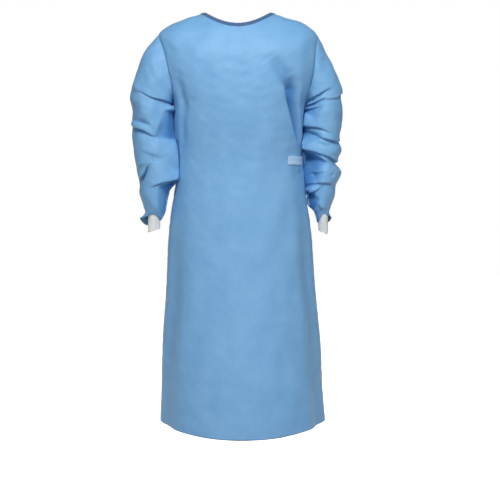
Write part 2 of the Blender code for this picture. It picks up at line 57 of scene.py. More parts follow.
# ---- The form: rings round the body, from the neck down ----
# The rows of this table, and of those of caps, arm and cuff rings, creases, dents and facets,
# are in millimetres and degrees. Everything else is in metres and degrees.
Ring = namedtuple(
    "Ring", "name side_z half_width centre_x front_reach front_z back_reach back_z squareness")
BODY_RINGS = [Ring(name, *in_metres(sizes), squareness) for name, *sizes, squareness in (
    ("neck", 0, 102, 0, 90, -44, 68, -26, 2.00),
    ("collar", -7, 124, 0, 97, -58, 79, -40, 2.05),
    ("mid_shoulder", -19, 163, 0, 107, -80, 93, -62, 2.12),
    ("shoulder", -36, 206, 0, 117, -108, 106, -92, 2.20),
    ("shoulder_tip", -64, 239, 0, 126, -142, 115, -128, 2.28),
    ("armhole_top", -108, 243, 0, 131, -178, 119, -168, 2.30),
    ("armhole_mid", -165, 239, 2, 134, -216, 121, -209, 2.30),
    ("armhole_low", -227, 221, 4, 136, -253, 120, -249, 2.28),
    ("underarm", -275, 200, 3.5, 137, -290, 118, -287, 2.25),
    ("chest", -330, 196, 2, 136, -340, 116, -338, 2.22),
    ("ribs", -385, 193, 3, 133, -391, 114, -390, 2.20),
    ("belt_top", -432, 191.5, 3, 131, -436, 113, -435, 2.18),
    ("belt_bottom", -460, 192, 3, 132, -464, 114, -462, 2.18),
    ("waist", -520, 197.5, 5, 137, -524, 118, -522, 2.16),
    ("hip", -600, 209.5, 6, 146, -605, 126, -602, 2.14),
    ("seat", -690, 219, 6, 155, -697, 135, -693, 2.12),
    ("upper_thigh", -785, 226, 7, 163, -794, 142, -789, 2.10),
    ("thigh", -880, 232.5, 9, 171, -891, 149, -885, 2.08),
    ("knee", -970, 239, 10, 179, -984, 155, -976, 2.06),
    ("calf", -1060, 244.5, 11, 187, -1077, 161, -1067, 2.05),
    ("skirt_low", -1150, 249.5, 12.5, 194, -1170, 166, -1159, 2.05),
    ("hem", -1237, 253, 13.5, 200, -1261, 170, -1248, 2.05),
)]
RING_SIZES = np.array([ring[1:] for ring in BODY_RINGS])
SHOULDER_TIP, UNDERARM, HEM = 4, 8, len(BODY_RINGS) - 1
Opening = namedtuple("Opening", "front back")
ARMHOLES = {-1: Opening(32.0, 32.0), 1: Opening(20.0, 34.0)}   # degrees either way from the side

# Large folds. Places are (degrees from the front, height).
Fold = namedtuple("Fold", "name start end width depth")
BODY_FOLDS = [
    Fold("left_chest_drag",  (22, -0.150), (44, -0.262), 0.060, 0.010),
    Fold("left_side_drag",   (37, -0.200), (78, -0.410), 0.066, 0.024),
    Fold("right_side_drag",  (-48, -0.200), (-60, -0.400), 0.070, 0.006),
    Fold("left_skirt_flute", (62, -0.560), (68, -1.400), 0.110, 0.008),
    Fold("right_skirt_flute", (-58, -0.620), (-66, -1.400), 0.110, 0.008),
    Fold("left_back_flute",  (118, -0.600), (124, -1.400), 0.110, 0.020),
    Fold("right_back_flute", (-116, -0.560), (-122, -1.400), 0.110, 0.020),
    Fold("mid_back_flute",   (-168, -0.520), (-163, -1.400), 0.110, 0.016),
    Fold("right_shoulder_drag", (-118, -0.180), (-140, -0.420), 0.080, 0.013),
]
FOLD_RADIUS = 0.200         # turns degrees round the body into distance along the cloth

# The back pieces wrap over each other: the wearer's right back lies outside.
OUTER_EDGE, INNER_EDGE = -210.0, 205.0
LAP, LAP_START, LAP_FULL = 0.0045, -126.0, -154.0

# ---- The form: sleeves ----
Cap = namedtuple("Cap", "degrees reach")
ArmRing = namedtuple("ArmRing", "name z inner outer centre_y half_depth arch")
Arm = namedtuple("Arm", "side caps rings")


def caps(*rows):
    """Sleeve head rings from rows of a slope in degrees and a reach."""
    return [Cap(degrees, reach / 1000) for degrees, reach in rows]


def named_rings(kind, *rows):
    """Rings of one kind from rows of a name and sizes."""
    return [kind(name, *in_metres(sizes)) for name, *sizes in rows]


RIGHT_ARM = Arm(
    side=-1,
    caps=caps((22, 191.3), (33, 170.6), (45, 149.4), (59, 136.4), (74, 128.1), (90, 114.3)),
    rings=named_rings(
        ArmRing,
        ("below_underarm", -335, 199.5, 319, -18, 67, 0),
        ("upper_arm", -380, 195, 318, -20, 67, 0),
        ("above_elbow", -425, 184, 314, -23, 66, 0),
        ("elbow", -470, 185, 306.5, -27, 64, 0),
        ("below_elbow", -512, 192, 297.5, -31, 60, 0),
        ("forearm", -545, 208, 296, -34, 55, 0),
        ("low_forearm", -578, 212.5, 287.5, -36, 47, 0),
        ("above_wrist", -602, 218, 279, -37, 38, 6),
    ),
)
LEFT_ARM = Arm(
    side=1,
    caps=caps((22, 171.8), (33, 151.1), (45, 137.4), (59, 124.1), (74, 111), (90, 108)),
    rings=named_rings(
        ArmRing,
        ("below_underarm", -335, 204, 317, 14, 67, 0),
        ("upper_arm", -378, 202, 308, 13, 67, 0),
        ("above_elbow", -410, 202, 315, 11, 66, 0),
        ("elbow", -446, 203, 301, 8, 64, 0),
        ("elbow_puff", -480, 205.5, 315, 5, 62, 0),
        ("below_elbow", -516, 209, 300.5, 2, 58, 0),
        ("forearm", -550, 214, 295, 0, 53, 0),
        ("low_forearm", -582, 221.5, 283.5, -3, 45, 0),
        ("above_wrist", -602, 232, 279, -4, 36, 6),
    ),
)
ARMS = {-1: RIGHT_ARM, 1: LEFT_ARM}
CAP_STEP_OUT, CAP_STEP_DOWN = 0.0012, 0.0035
CAP_CENTRE_Y = {-1: -0.015, 1: 0.014}
CAP_HALF_DEPTH = {-1: 0.071, 1: 0.068}
SLEEVE_CLEARANCE = 0.0015   # between a sleeve and the body that it hangs against
CLEAR_START, CLEAR_FULL = 0.272, 0.295      # how far down a sleeve begins to be kept clear of it

# The heights between which a sleeve lies on the body
Hug = namedtuple("Hug", "top full open closed")
HUGS = {-1: Hug(-0.266, -0.290, -0.500, -0.540), 1: Hug(-0.266, -0.290, -0.575, -0.606)}
HUG_TURN = (112.0, 150.0)   # degrees round the sleeve, from free to lying on the body

CuffRing = namedtuple("CuffRing", "name z centre half_width half_depth")
Wrist = namedtuple("Wrist", "z pleat_tip inner_drop arch back_drop")
CUFFS = {
    -1: named_rings(
        CuffRing,
        ("cuff_top", -602, 252.5, 19.8, 28.5),
        ("cuff_middle", -630, 253, 18.5, 27.5),
        ("cuff_end", -655, 253.5, 18, 27),
    ),
    1: named_rings(
        CuffRing,
        ("cuff_top", -602, 259, 16.8, 29),
        ("cuff_middle", -635, 259, 15, 27.5),
        ("cuff_end", -662, 258.5, 14.2, 27),
    ),
}
CUFF_TILT = 0.005           # the cuff end hangs lower on the little finger's side
WRISTS = {-1: Wrist(-0.6200, 0.2970, 0.006, 0.014, 0.021),
          1: Wrist(-0.6180, 0.2860, 0.016, 0.014, 0.014)}
PLEAT_TURN = 66.0           # degrees of the sleeve's end on each side that the pleat takes up

# ---- Cloths and seams ----
CLOTH_WALL = 0.0006
KNIT_WALL = 0.0012
BINDING_WALL = 0.0008
STRIP_WALL = 0.0010
TAPE_WALL = 0.0008
SEAM_GAP = 0.0003
SEAM_DIP, SEAM_WIDTH = 0.0007, 0.0050      # how far a seam pulls the cloth in, and how wide
PUCKER, PUCKER_PITCH = 0.0007, 0.021       # small waves along a seam
SEAM_STITCHES = (0.0022, 0.0042, 0.00035)   # their way from the seam, pitch and thread
THREAD_RADIUS = 0.00032
STITCH_PITCH, STITCH_SHARE = 0.0036, 0.34   # of the binding's stitches, and half of one's share
BODY_UNREST, SLEEVE_UNREST = (0.0011, 0.00035), (0.0010, 0.00030)       # broad and fine

# Fineness of the sheets
FRONT_COLUMNS, BACK_COLUMNS, SLEEVE_COLUMNS = 132, 84, 176
SHOULDER_STEPS, SKIRT_STEPS, SLEEVE_STEPS = 6, 11, 17

# ---- Creases ----
# A crease is a narrow trough, with a ridge on its upper side that may hang over it. Its route goes
# through (degrees round the sleeve from its outer side, height), with the front side positive.
Crease = namedtuple("Crease", "name route width depth ridge hang peak")


def creases(*rows):
    """Creases from rows of a name, a route, four sizes and a peak."""
    return [Crease(name, [(turn, z / 1000) for turn, z in route], *in_metres(sizes), peak)
            for name, route, *sizes, peak in rows]


RIGHT_SLEEVE_CREASES = creases(
    ("underarm_roll", [(26, -229), (60, -241), (97, -259), (135, -266), (178, -277)], 6, 6, 5, 3.5,
     0.85),
    ("roll_start", [(4, -226), (34, -233), (66, -248)], 6, 4.5, 3, 0, 0.5),
    ("outer_nick", [(12, -268), (40, -273), (62, -271)], 4, 3, 1, 0, 0.4),
    ("upper_drag", [(18, -305), (50, -319), (82, -338), (108, -365)], 8.5, 4.5, 3, 0, 0.45),
    ("lower_drag", [(-14, -330), (30, -341), (69, -354), (92, -371), (116, -379)], 5.6, 8.5, 8, 5,
     0.35),
    ("hollow_sill", [(106, -370), (122, -383), (150, -384), (178, -381)], 4.8, 6, 0, 0, 0.6),
    ("hollow_wall", [(122, -322), (116, -345), (112, -372)], 7.5, 3, 0, 0, 0.6),
    ("mid_line", [(52, -414), (88, -431), (122, -440)], 6.2, 3.6, 2.6, 0, 0.5),
    ("elbow_overlap", [(86, -452), (64, -466), (48, -484), (30, -500), (2, -508)], 5.8, 11, 8.5, 8,
     0.55),
    ("inner_overlap", [(184, -490), (148, -494), (116, -507), (92, -519), (66, -532)], 6, 11, 8.5,
     7, 0.25),
    ("forearm_tuck", [(152, -514), (148, -560), (158, -604)], 7, 5.2, 0, 0, 0.3),
    ("forearm_line", [(64, -556), (72, -580), (70, -600)], 7, 2, 1, 0, 0.4),
    ("back_roll", [(-34, -222), (-80, -246), (-128, -262), (-176, -277)], 6.4, 6, 4.5, 3, 0.8),
    ("back_upper_drag", [(-16, -296), (-62, -316), (-112, -352)], 8.5, 4.5, 3, 0, 0.4),
    ("back_hook", [(-176, -344), (-136, -352), (-98, -374), (-60, -384)], 6, 6.4, 4.5, 2.5, 0.3),
    ("back_elbow_high", [(-172, -424), (-130, -428), (-84, -448), (-48, -452)], 6.2, 6.6, 4.5, 3,
     0.35),
    ("back_elbow_low", [(-22, -478), (-66, -492), (-110, -486)], 5.6, 5.5, 4, 2, 0.45),
    ("back_forearm", [(-176, -508), (-134, -524), (-88, -552)], 6.4, 5.6, 3.5, 2, 0.3),
    ("back_wrist", [(-112, -566), (-104, -602)], 6, 2.4, 1, 0, 0.5),
)
LEFT_SLEEVE_CREASES = creases(
    ("underarm_roll", [(56, -225), (80, -234), (108, -248), (140, -261), (166, -270)], 6, 5.8, 4.5,
     2.5, 0.55),
    ("outer_roll", [(-16, -238), (18, -243), (52, -257), (86, -263), (112, -260)], 6.4, 5, 4, 1.5,
     0.25),
    ("inner_pleat", [(96, -277), (122, -287), (150, -292), (178, -297)], 5.2, 4.6, 5, 2, 0.6),
    ("inner_bite", [(184, -334), (140, -340), (104, -348), (74, -360), (54, -366)], 5.8, 8, 4.5, 3,
     0.25),
    ("main_overlap", [(156, -349), (118, -364), (90, -377), (50, -384), (8, -384), (-24, -378)],
     5.8, 7.8, 5, 3.5, 0.6),
    ("small_line", [(116, -386), (88, -396), (62, -405)], 5.5, 3.4, 2.2, 0, 0.5),
    ("crisp_fold", [(102, -419), (74, -431), (36, -442), (0, -448), (-22, -446)], 4.4, 7.4, 6, 3.5,
     0.6),
    ("shadow_edge", [(184, -396), (142, -403), (98, -424), (62, -440)], 7, 11, 9.5, 8, 0.25),
    ("puff_ridge", [(156, -520), (112, -513), (70, -513), (40, -519)], 5.5, 3.5, 5.5, 1.5, 0.5),
    ("forearm_overlap", [(80, -514), (112, -532), (146, -550), (180, -561)], 6, 6.2, 3.5, 2.5,
     0.55),
    ("forearm_tuck", [(154, -556), (152, -580), (160, -606)], 7, 5, 0, 0, 0.3),
    ("wrist_line", [(106, -572), (100, -598)], 4, 3, 1, 0, 0.5),
    ("back_roll", [(-30, -220), (-76, -238), (-124, -256), (-172, -272)], 6.4, 6, 4.5, 3, 0.7),
    ("back_drag", [(-20, -286), (-70, -305), (-118, -334)], 8.5, 4.2, 3, 0, 0.5),
    ("back_bite", [(-178, -338), (-136, -350), (-92, -372), (-56, -378)], 6, 7, 4.5, 3, 0.3),
    ("back_elbow_high", [(-176, -410), (-134, -420), (-86, -442), (-44, -444)], 6, 6.4, 4.5, 3,
     0.4),
    ("back_elbow_low", [(-30, -496), (-74, -486), (-124, -500)], 5.8, 5.5, 4, 2, 0.5),
    ("back_forearm", [(-176, -548), (-130, -544), (-86, -526)], 6.2, 5.6, 3.5, 2, 0.3),
    ("back_wrist", [(-98, -570), (-106, -600)], 5.5, 2.4, 1, 0, 0.5),
)
SLEEVE_CREASES = {-1: RIGHT_SLEEVE_CREASES, 1: LEFT_SLEEVE_CREASES}

# The body's creases go through (degrees from the front, height).
BODY_CREASES = creases(
    ("left_drape", [(28, -155), (38, -205), (49, -250), (60, -292), (72, -352), (84, -425)], 13, 23,
     4, 0, 0.76),
    ("left_drape_tail", [(74, -466), (80, -510), (80, -570)], 12, 3, 1.5, 0, 0.2),
    ("left_belt_pull", [(54, -396), (60, -428)], 8, 2.6, 1, 0, 0.8),
    ("left_belt_pull_low", [(58, -468), (52, -520)], 9, 2.4, 1, 0, 0.2),
    ("left_side_pull", [(98, -360), (104, -428)], 9, 3, 1.5, 0, 0.7),
    ("left_side_pull_low", [(96, -466), (90, -540)], 10, 3, 1.2, 0, 0.2),
    ("right_drape", [(-44, -176), (-54, -250), (-60, -330)], 14, 3, 1.5, 0, 0.4),
    ("right_side_line", [(-74, -300), (-78, -400), (-76, -500)], 14, 2.6, 1.2, 0, 0.4),
    ("knot_pull_up", [(122, -428), (112, -380), (104, -318)], 8, 4.4, 2, 0, 0.1),
    ("knot_pull_back", [(134, -428), (142, -376), (156, -318)], 8, 4.2, 2, 0, 0.1),
    ("knot_pull_down", [(122, -468), (112, -520), (108, -600)], 9, 4.6, 2, 0, 0.1),
    ("knot_pull_down_back", [(136, -468), (146, -526), (150, -620)], 9, 4.4, 2, 0, 0.1),
    ("right_blade", [(-122, -130), (-134, -210), (-144, -330)], 11, 10, 4, 0, 0.4),
    ("right_blade_low", [(-118, -250), (-130, -320), (-150, -380)], 9, 7, 3, 0, 0.3),
    ("left_blade", [(134, -130), (146, -210), (150, -310)], 11, 9, 4, 0, 0.4),
    ("back_waist_line", [(-172, -398), (-148, -420), (-112, -428)], 10, 8, 4, 0, 0.6),
    ("back_waist_low", [(-178, -452), (-152, -470), (-124, -462)], 9, 6, 3, 0, 0.4),
    ("back_edge_pull", [(-196, -470), (-176, -540), (-170, -660)], 10, 10, 4, 0, 0.15),
    ("back_seat_pull", [(-196, -440), (-164, -500), (-140, -600)], 10, 7, 3, 0, 0.2),
    ("neck_tie_pull", [(-176, -62), (-156, -92), (-144, -150)], 8, 5, 2, 0, 0.2),
)

# Rounded dents, and puffs where the depth is negative
Dent = namedtuple("Dent", "name turn z radius depth")
SLEEVE_DENTS = {side: [Dent(name, turn, *in_metres(sizes)) for name, turn, *sizes in rows]
                for side, rows in {
    -1: [
        ("shoulder_puff", 70, -290, 26, -1.5), ("sill_loop", 118, -377, 5, -2),
        ("pinch", 85, -448, 4.5, 1.6), ("second_pinch", 99, -449, 4, 1.4),
        ("elbow_puff", 62, -442, 22, -1.5), ("inner_elbow_hollow", 132, -474, 26, 5),
        ("forearm_puff", 84, -516, 15, -3), ("back_elbow_puff", -80, -470, 24, -3.5),
        ("back_hollow", -140, -390, 26, 6)],
    1: [
        ("patch", 122, -492, 10, 4), ("pit", 61, -489, 7, 4.5),
        ("shoulder_puff", 88, -310, 24, -3.5), ("fold_puff", 50, -408, 16, -3),
        ("elbow_puff", 84, -474, 18, -3), ("inner_forearm_hollow", 138, -533, 14, 4),
        ("back_elbow_puff", -80, -466, 24, -3.5), ("back_hollow", -142, -380, 26, 6)],
}.items()}

# Flat facets pressed into a sleeve from the front or the back, where the cloth folds in between
# two creases. Corners are (distance from the gown's middle, height, depth).
Facet = namedtuple("Facet", "name corners")


def facets(*rows):
    return [Facet(name, [in_metres(corner) for corner in corners]) for name, *corners in rows]


FRONT_FACETS = {
    -1: facets(
        ("inner_hollow", (246, -379, 4), (214, -300, 4), (205, -380, 28)),
        ("hollow_top", (214, -300, 4), (172, -294, 52), (172, -382, 62)),
        ("hollow_side", (214, -300, 4), (172, -382, 62), (205, -380, 28)),
        ("outer_fall", (322, -256, 2), (252, -348, 0), (330, -322, 24)),
        ("elbow_fall", (258, -452, 0), (312, -472, 20), (300, -518, 14)),
        ("wrist_tuck_top", (238, -528, 0), (180, -506, 50), (232, -612, 4)),
        ("wrist_tuck", (180, -506, 50), (200, -616, 34), (232, -612, 4)),
    ),
    1: facets(
        ("inner_hollow", (276, -454, 2), (243, -514, 0), (180, -406, 66)),
        ("lower_hollow", (180, -406, 66), (243, -514, 0), (188, -536, 40)),
        ("second_hollow", (268, -480, 0), (240, -524, 0), (226, -484, 16)),
        ("roll_hollow", (270, -256, 0), (190, -288, 24), (228, -326, 2)),
        ("bite_hollow", (266, -374, 0), (188, -346, 28), (200, -398, 6)),
        ("outer_fall", (330, -440, 4), (262, -448, 0), (312, -474, 16)),
        ("wrist_tuck", (206, -534, 36), (246, -562, 0), (222, -614, 26)),
    ),
}
BACK_FACETS = {
    -1: facets(
        ("back_hollow", (250, -384, 0), (208, -318, 2), (188, -392, 30)),
        ("back_elbow_fall", (272, -460, 0), (316, -480, 12), (300, -522, 8)),
        ("back_wrist_tuck", (192, -530, 20), (238, -548, 0), (214, -614, 14)),
    ),
    1: facets(
        ("back_hollow", (256, -352, 0), (206, -290, 2), (198, -362, 26)),
        ("back_elbow_fall", (312, -430, 0), (262, -470, 0), (318, -486, 12)),
        ("back_wrist_tuck", (210, -556, 20), (248, -560, 0), (226, -614, 14)),
    ),
}

# ---- Belt and neck closure ----
BELT_TOP, BELT_WIDTH, BELT_LIFT = -0.4325, 0.027, 0.0010
BELT_START, KNOT_START, KNOT_END, BELT_BACK_START = 48.0, 124.0, 132.0, 156.0
KNOT_CLEARANCE = 0.25
KNOT_HEIGHT = 0.034
Tail = namedtuple("Tail", "name degrees drift length")
TAILS = [Tail("belt_tail_front", 125.0, -5.0, 0.250), Tail("belt_tail_back", 131.0, 4.0, 0.215)]
TAIL_LIFT = 0.0030
Patch = namedtuple("Patch", "name start end top bottom lift edge_lift")
NECK_PATCHES = [
    Patch("neck_tab_loop", 122.0, 144.0, 0.70, 1.55, 0.0010, 0.0),
    Patch("neck_tab_hook", 126.0, 160.0, 0.72, 1.53, 0.0026, 0.0028),
]
BINDING_LEG, BINDING_CLEARANCE = 0.0125, 0.0004


def smooth_step(value, start, end):
    t = np.clip((value - start) / (end - start), 0.0, 1.0)
    return t * t * (3 - 2 * t)


def unit(vectors):
    return vectors / np.maximum(np.linalg.norm(vectors, axis=-1, keepdims=True), 1e-12)


def between_rows(table, place):
    """Values between a table's rows, on a smooth curve through each column."""
    last = len(table) - 1
    first = np.clip(np.floor(place).astype(int), 0, last - 1)
    t = (place - first)[..., None]
    a, b, c, d = (table[np.clip(first + k, 0, last)] for k in (-1, 0, 1, 2))
    return 0.5 * (2 * b + (c - a) * t + (2 * a - 5 * b + 4 * c - d) * t ** 2
                  + (3 * b - a - 3 * c + d) * t ** 3)


# ---- The body's form ----
def smooth_body(row, degrees):
    """Points of the body's form with no folds, for arrays of rows and degrees."""
    row, degrees = np.broadcast_arrays(np.asarray(row, float), np.asarray(degrees, float))
    ring = Ring("between", *np.moveaxis(between_rows(RING_SIZES, row), -1, 0))
    angle = np.radians(degrees)
    sideways = np.abs(np.sin(angle)) ** (2 / ring.squareness)
    forwards = np.abs(np.cos(angle)) ** (2 / ring.squareness)
    front = np.cos(angle) > 0
    x = ring.centre_x + np.sign(np.sin(angle)) * ring.half_width * sideways
    y = np.where(front, -ring.front_reach, ring.back_reach) * forwards
    middle_z = np.where(front, ring.front_z, ring.back_z)
    z = ring.side_z * sideways ** 2 + middle_z * (1 - sideways ** 2)
    return np.stack([x, y, z], axis=-1)


def body_normal(row, degrees):
    low, high = np.maximum(row - 0.05, 0.0), np.minimum(row + 0.05, float(HEM))
    down = smooth_body(high, degrees) - smooth_body(low, degrees)
    round_body = smooth_body(row, degrees + 1) - smooth_body(row, degrees - 1)
    return unit(np.cross(down, round_body))


def fold_depth(degrees, z):
    """How far the large folds press the body in."""
    depth = 0.0
    for fold in BODY_FOLDS:
        turn = math.radians(fold.end[0] - fold.start[0]) * FOLD_RADIUS
        fall = fold.end[1] - fold.start[1]
        across = np.radians((degrees - fold.start[0] + 180) % 360 - 180) * FOLD_RADIUS
        drop = z - fold.start[1]
        along = np.clip((across * turn + drop * fall) / (turn ** 2 + fall ** 2), 0, 1)
        away = np.hypot(across - turn * along, drop - fall * along) / (fold.width / 2)
        fade = smooth_step(along, -0.1, 0.25) * (1 - smooth_step(along, 0.85, 1.15))
        depth = depth + fold.depth * fade * (0.5 + 0.5 * np.cos(np.pi * np.minimum(away, 1)))
    return depth


def body(row, degrees, lift=0.0, folded=True):
    """Points of the gown's outer face, or a lift away from it."""
    point = smooth_body(row, degrees)
    fold = fold_depth(degrees, point[..., 2]) if folded else 0.0
    return point + body_normal(row, degrees) * np.asarray(lift - fold)[..., None]


def row_at_height(z):
    """The row whose side is at a height."""
    rows = np.linspace(0, HEM, 40 * HEM + 1)
    return float(np.interp(-z, -between_rows(RING_SIZES, rows)[:, 0], rows))


def lap(degrees):
    return LAP * smooth_step(-degrees, -LAP_START, -LAP_FULL)


def armhole(side, turn):
    """Points of the armhole's loop. Turn 0 is the top, and a quarter turn is the front."""
    row = SHOULDER_TIP + (UNDERARM - SHOULDER_TIP) * (1 - np.cos(turn)) / 2
    opening = np.where(np.sin(turn) > 0, ARMHOLES[side].front, ARMHOLES[side].back)
    return body(row, side * (90 - opening * np.sin(turn)))


def armhole_share(rows):
    """0 outside the armhole, up to 1 half way down it, where it is widest."""
    cosine = np.clip(1 - 2 * (rows - SHOULDER_TIP) / (UNDERARM - SHOULDER_TIP), -1, 1)
    return np.sqrt(1 - cosine ** 2)


def panel_rows():
    """Rows from neck to hem, with the sleeve's own columns where the armhole is."""
    turn = np.linspace(0, math.pi, SLEEVE_COLUMNS // 2 + 1)
    turn = np.delete(turn, [1, 2, 3, 5, -6, -4, -3, -2])       # these would lie too close together
    armhole_rows = SHOULDER_TIP + (UNDERARM - SHOULDER_TIP) * (1 - np.cos(turn)) / 2
    shoulder = np.linspace(0, SHOULDER_TIP, SHOULDER_STEPS * SHOULDER_TIP + 1)
    skirt = np.linspace(UNDERARM, HEM, SKIRT_STEPS * (HEM - UNDERARM) + 1)
    return np.concatenate([shoulder[:-1], armhole_rows, skirt[1:]])


# ---- The sleeves' form ----
def cuff_points(side, ring, turn, grow=0.0):
    x = side * (ring.centre + (ring.half_width + grow) * np.cos(turn))
    y = ARMS[side].rings[-1].centre_y - (ring.half_depth + grow) * np.sin(turn)
    return np.stack([x, y, ring.z + 0 * turn], axis=-1)


def cap_ring(arm, number, cap, turn):
    """A ring of the sleeve head, in a plane that fans out from the underarm."""
    underarm = armhole(arm.side, np.array([math.pi]))[0]
    slope = math.radians(cap.degrees)
    reach = cap.reach * (1 + np.cos(turn)) / 2
    x = underarm[0] + arm.side * (CAP_STEP_OUT * number + math.sin(slope) * reach)
    y = CAP_CENTRE_Y[arm.side] - CAP_HALF_DEPTH[arm.side] * np.sin(turn)
    z = underarm[2] - CAP_STEP_DOWN * number + math.cos(slope) * reach
    return np.stack([x, y, z], axis=-1)


def arm_ring(arm, ring, turn):
    x = arm.side * ((ring.inner + ring.outer) / 2 + (ring.outer - ring.inner) / 2 * np.cos(turn))
    y = ring.centre_y - ring.half_depth * np.sin(turn)
    return np.stack([x, y, ring.z + ring.arch * np.sin(turn) ** 2], axis=-1)


def wrist_ring(arm, turn):
    """The sleeve's end: close round the cuff, with the spare width folded out as a pleat."""
    wrist, (top, middle) = WRISTS[arm.side], CUFFS[arm.side][:2]
    share = (wrist.z - top.z) / (middle.z - top.z)
    there = CuffRing("wrist", *(p + (q - p) * share for p, q in zip(top[1:], middle[1:])))
    ring = cuff_points(arm.side, there, turn, SEAM_GAP + CLOTH_WALL + KNIT_WALL)
    pleat = smooth_step(PLEAT_TURN - np.abs(np.degrees(turn)), 0, PLEAT_TURN)
    centre_y = ARMS[arm.side].rings[-1].centre_y
    ring[:, 0] += (arm.side * wrist.pleat_tip - ring[:, 0]) * pleat
    ring[:, 1] = centre_y + (ring[:, 1] - centre_y) * (1 - 0.25 * pleat)
    outer_back = (np.sin(turn) < 0) & (np.cos(turn) > 0)
    rise = np.where(np.sin(turn) > 0, wrist.arch * np.sin(turn) ** 2, 0.0)
    drop = np.where(outer_back, wrist.back_drop * np.sin(2 * turn) ** 2, 0.0)
    ring[:, 2] += rise - drop - wrist.inner_drop * np.maximum(-np.cos(turn), 0)
    return ring


def sleeve_form(arm):
    """Rows of points from the armhole down to the wrist, starting at the underarm seam."""
    turn = np.linspace(-math.pi, math.pi, SLEEVE_COLUMNS + 1)
    rings = [armhole(arm.side, turn)]
    rings += [cap_ring(arm, number, cap, turn) for number, cap in enumerate(arm.caps, 1)]
    rings += [arm_ring(arm, ring, turn) for ring in arm.rings]
    rings.append(wrist_ring(arm, turn))
    table = np.array(rings).reshape(len(rings), -1)
    place = np.linspace(0, len(rings) - 1, SLEEVE_STEPS * (len(rings) - 1) + 1)
    return np.degrees(turn), between_rows(table, place).reshape(len(place), len(turn), 3)


def nearness_to_body(points):
    """1 on a face just clear of the body's form and less inside, and the way from its middle."""
    z = np.minimum(points[..., 2], BODY_RINGS[UNDERARM].side_z)
    rows = np.linspace(UNDERARM, HEM, 400)
    table = between_rows(RING_SIZES, rows)
    size = [np.interp(-z, -table[:, 0], table[:, k]) for k in range(table.shape[1])]
    ring = Ring("here", *size)
    width = ring.half_width + SLEEVE_CLEARANCE
    depth = np.where(points[..., 1] < 0, ring.front_reach, ring.back_reach) + SLEEVE_CLEARANCE
    across = points[..., 0] - ring.centre_x
    nearness = ((np.abs(across) / width) ** ring.squareness
                + (np.abs(points[..., 1]) / depth) ** ring.squareness) ** (1 / ring.squareness)
    return nearness, np.stack([across, points[..., 1], 0 * z], axis=-1)


def clear_of_body(points):
    """The points, moved out just clear of the body's form where they are nearer than that."""
    nearness, way = nearness_to_body(points)
    push = np.where(nearness < 1, 1 / np.maximum(nearness, 0.5), 1.0) - 1
    share = smooth_step(-points[..., 2], CLEAR_START, CLEAR_FULL)
    return points + way * (push * share)[..., None]


def laid_on_body(points, turns, hug):
    """The sleeve with its inner side laid on the body, as the arm's weight lays it."""
    nearness, way = nearness_to_body(points)
    drop = -points[..., 2]
    share = smooth_step(np.abs(turns), *HUG_TURN)[None, :] * smooth_step(drop, -hug.top, -hug.full)
    share = share * (1 - smooth_step(drop, -hug.open, -hug.closed))
    return points + way * ((1 / nearness - 1) * share)[..., None]


# ---- Creases ----
CREASE_GAIN = 1.3           # how strongly every crease is pressed
LIP = 0.35                  # how sharp a crease's lip is, as a share of its width
PAINTED_SHADE_START, PAINTED_SHADE_FULL = 0.001, 0.018      # how deep the cloth is pressed in where the painted shade begins, and where it is full
CREASE_REACH = 9            # how far a crease reaches, in its widths
LIP_FALL, TROUGH_FALL = 4.0, 2.6        # how far its lip and trough fade, in its widths


def grid_normals(points, tube=False):
    """The way out of a grid of points whose rows go down and columns go round to the left."""
    wide = np.concatenate([points[:, -2:-1], points, points[:, 1:2]], axis=1) if tube else points
    out = unit(np.cross(np.gradient(wide, axis=0), np.gradient(wide, axis=1)))
    return out[:, 1:-1] if tube else out


def surface_route(places, surface_point, samples=26):
    """A crease's route as points on a surface, on a smooth curve through its places."""
    along = np.linspace(0, len(places) - 1, samples)
    return np.array([surface_point(turn, z) for turn, z in between_rows(np.array(places), along)])


def column_point(column, z):
    """The point at a height on one column of a surface, whose points go down."""
    return np.array([np.interp(-z, -column[:, 2], column[:, axis]) for axis in (0, 1)] + [z])


def on_grid(points, turns, turn, z):
    """The point of a surface at a turn and a height."""
    place = float(np.interp(turn, turns, np.arange(len(turns))))
    left = min(int(place), len(turns) - 2)
    share = place - left
    return (column_point(points[:, left], z) * (1 - share)
            + column_point(points[:, left + 1], z) * share)


def crease_moves(points, out, route, crease):
    """How one crease moves the points of a surface."""
    moves = np.zeros_like(points)
    reach = CREASE_REACH * crease.width
    near = np.all((points > route.min(0) - reach) & (points < route.max(0) + reach), axis=-1)
    here, way_out = points[near], out[near]
    gap = np.full(len(here), np.inf)
    along, foot, run = np.zeros(len(here)), np.zeros_like(here), np.ones_like(here)
    for k, (start, end) in enumerate(zip(route, route[1:])):
        step = end - start
        t = np.clip((here - start) @ step / (step @ step), 0, 1)
        spot = start + t[:, None] * step
        distance = np.linalg.norm(here - spot, axis=1)
        closer = distance < gap
        gap[closer] = distance[closer]
        along[closer] = (k + t[closer]) / (len(route) - 1)
        foot[closer], run[closer] = spot[closer], step
    up = unit(np.cross(way_out, run))
    up = up * (1.0 if up[:, 2].sum() >= 0 else -1.0)
    away = np.einsum("ij,ij->i", here - foot, up) / crease.width
    beyond = np.sqrt(np.maximum(gap ** 2 - (away * crease.width) ** 2, 0)) / crease.width
    strength = smooth_step(along, -0.02, crease.peak) * (1 - smooth_step(along, crease.peak, 1.02))
    strength = strength * np.exp(-beyond ** 2) * CREASE_GAIN
    over = 0.5 + 0.5 * np.tanh(away / (LIP if crease.hang else 2 * LIP))
    lip = crease.ridge * np.exp(-np.maximum(away, 0) / LIP_FALL)
    trough = crease.depth * np.exp(-np.maximum(-away, 0) / TROUGH_FALL)
    height = over * lip - (1 - over) * trough
    hang = crease.hang * np.exp(-((away - 0.5) / 0.9) ** 2)
    moves[near] = (way_out * height[:, None] - up * hang[:, None]) * strength[:, None]
    return moves


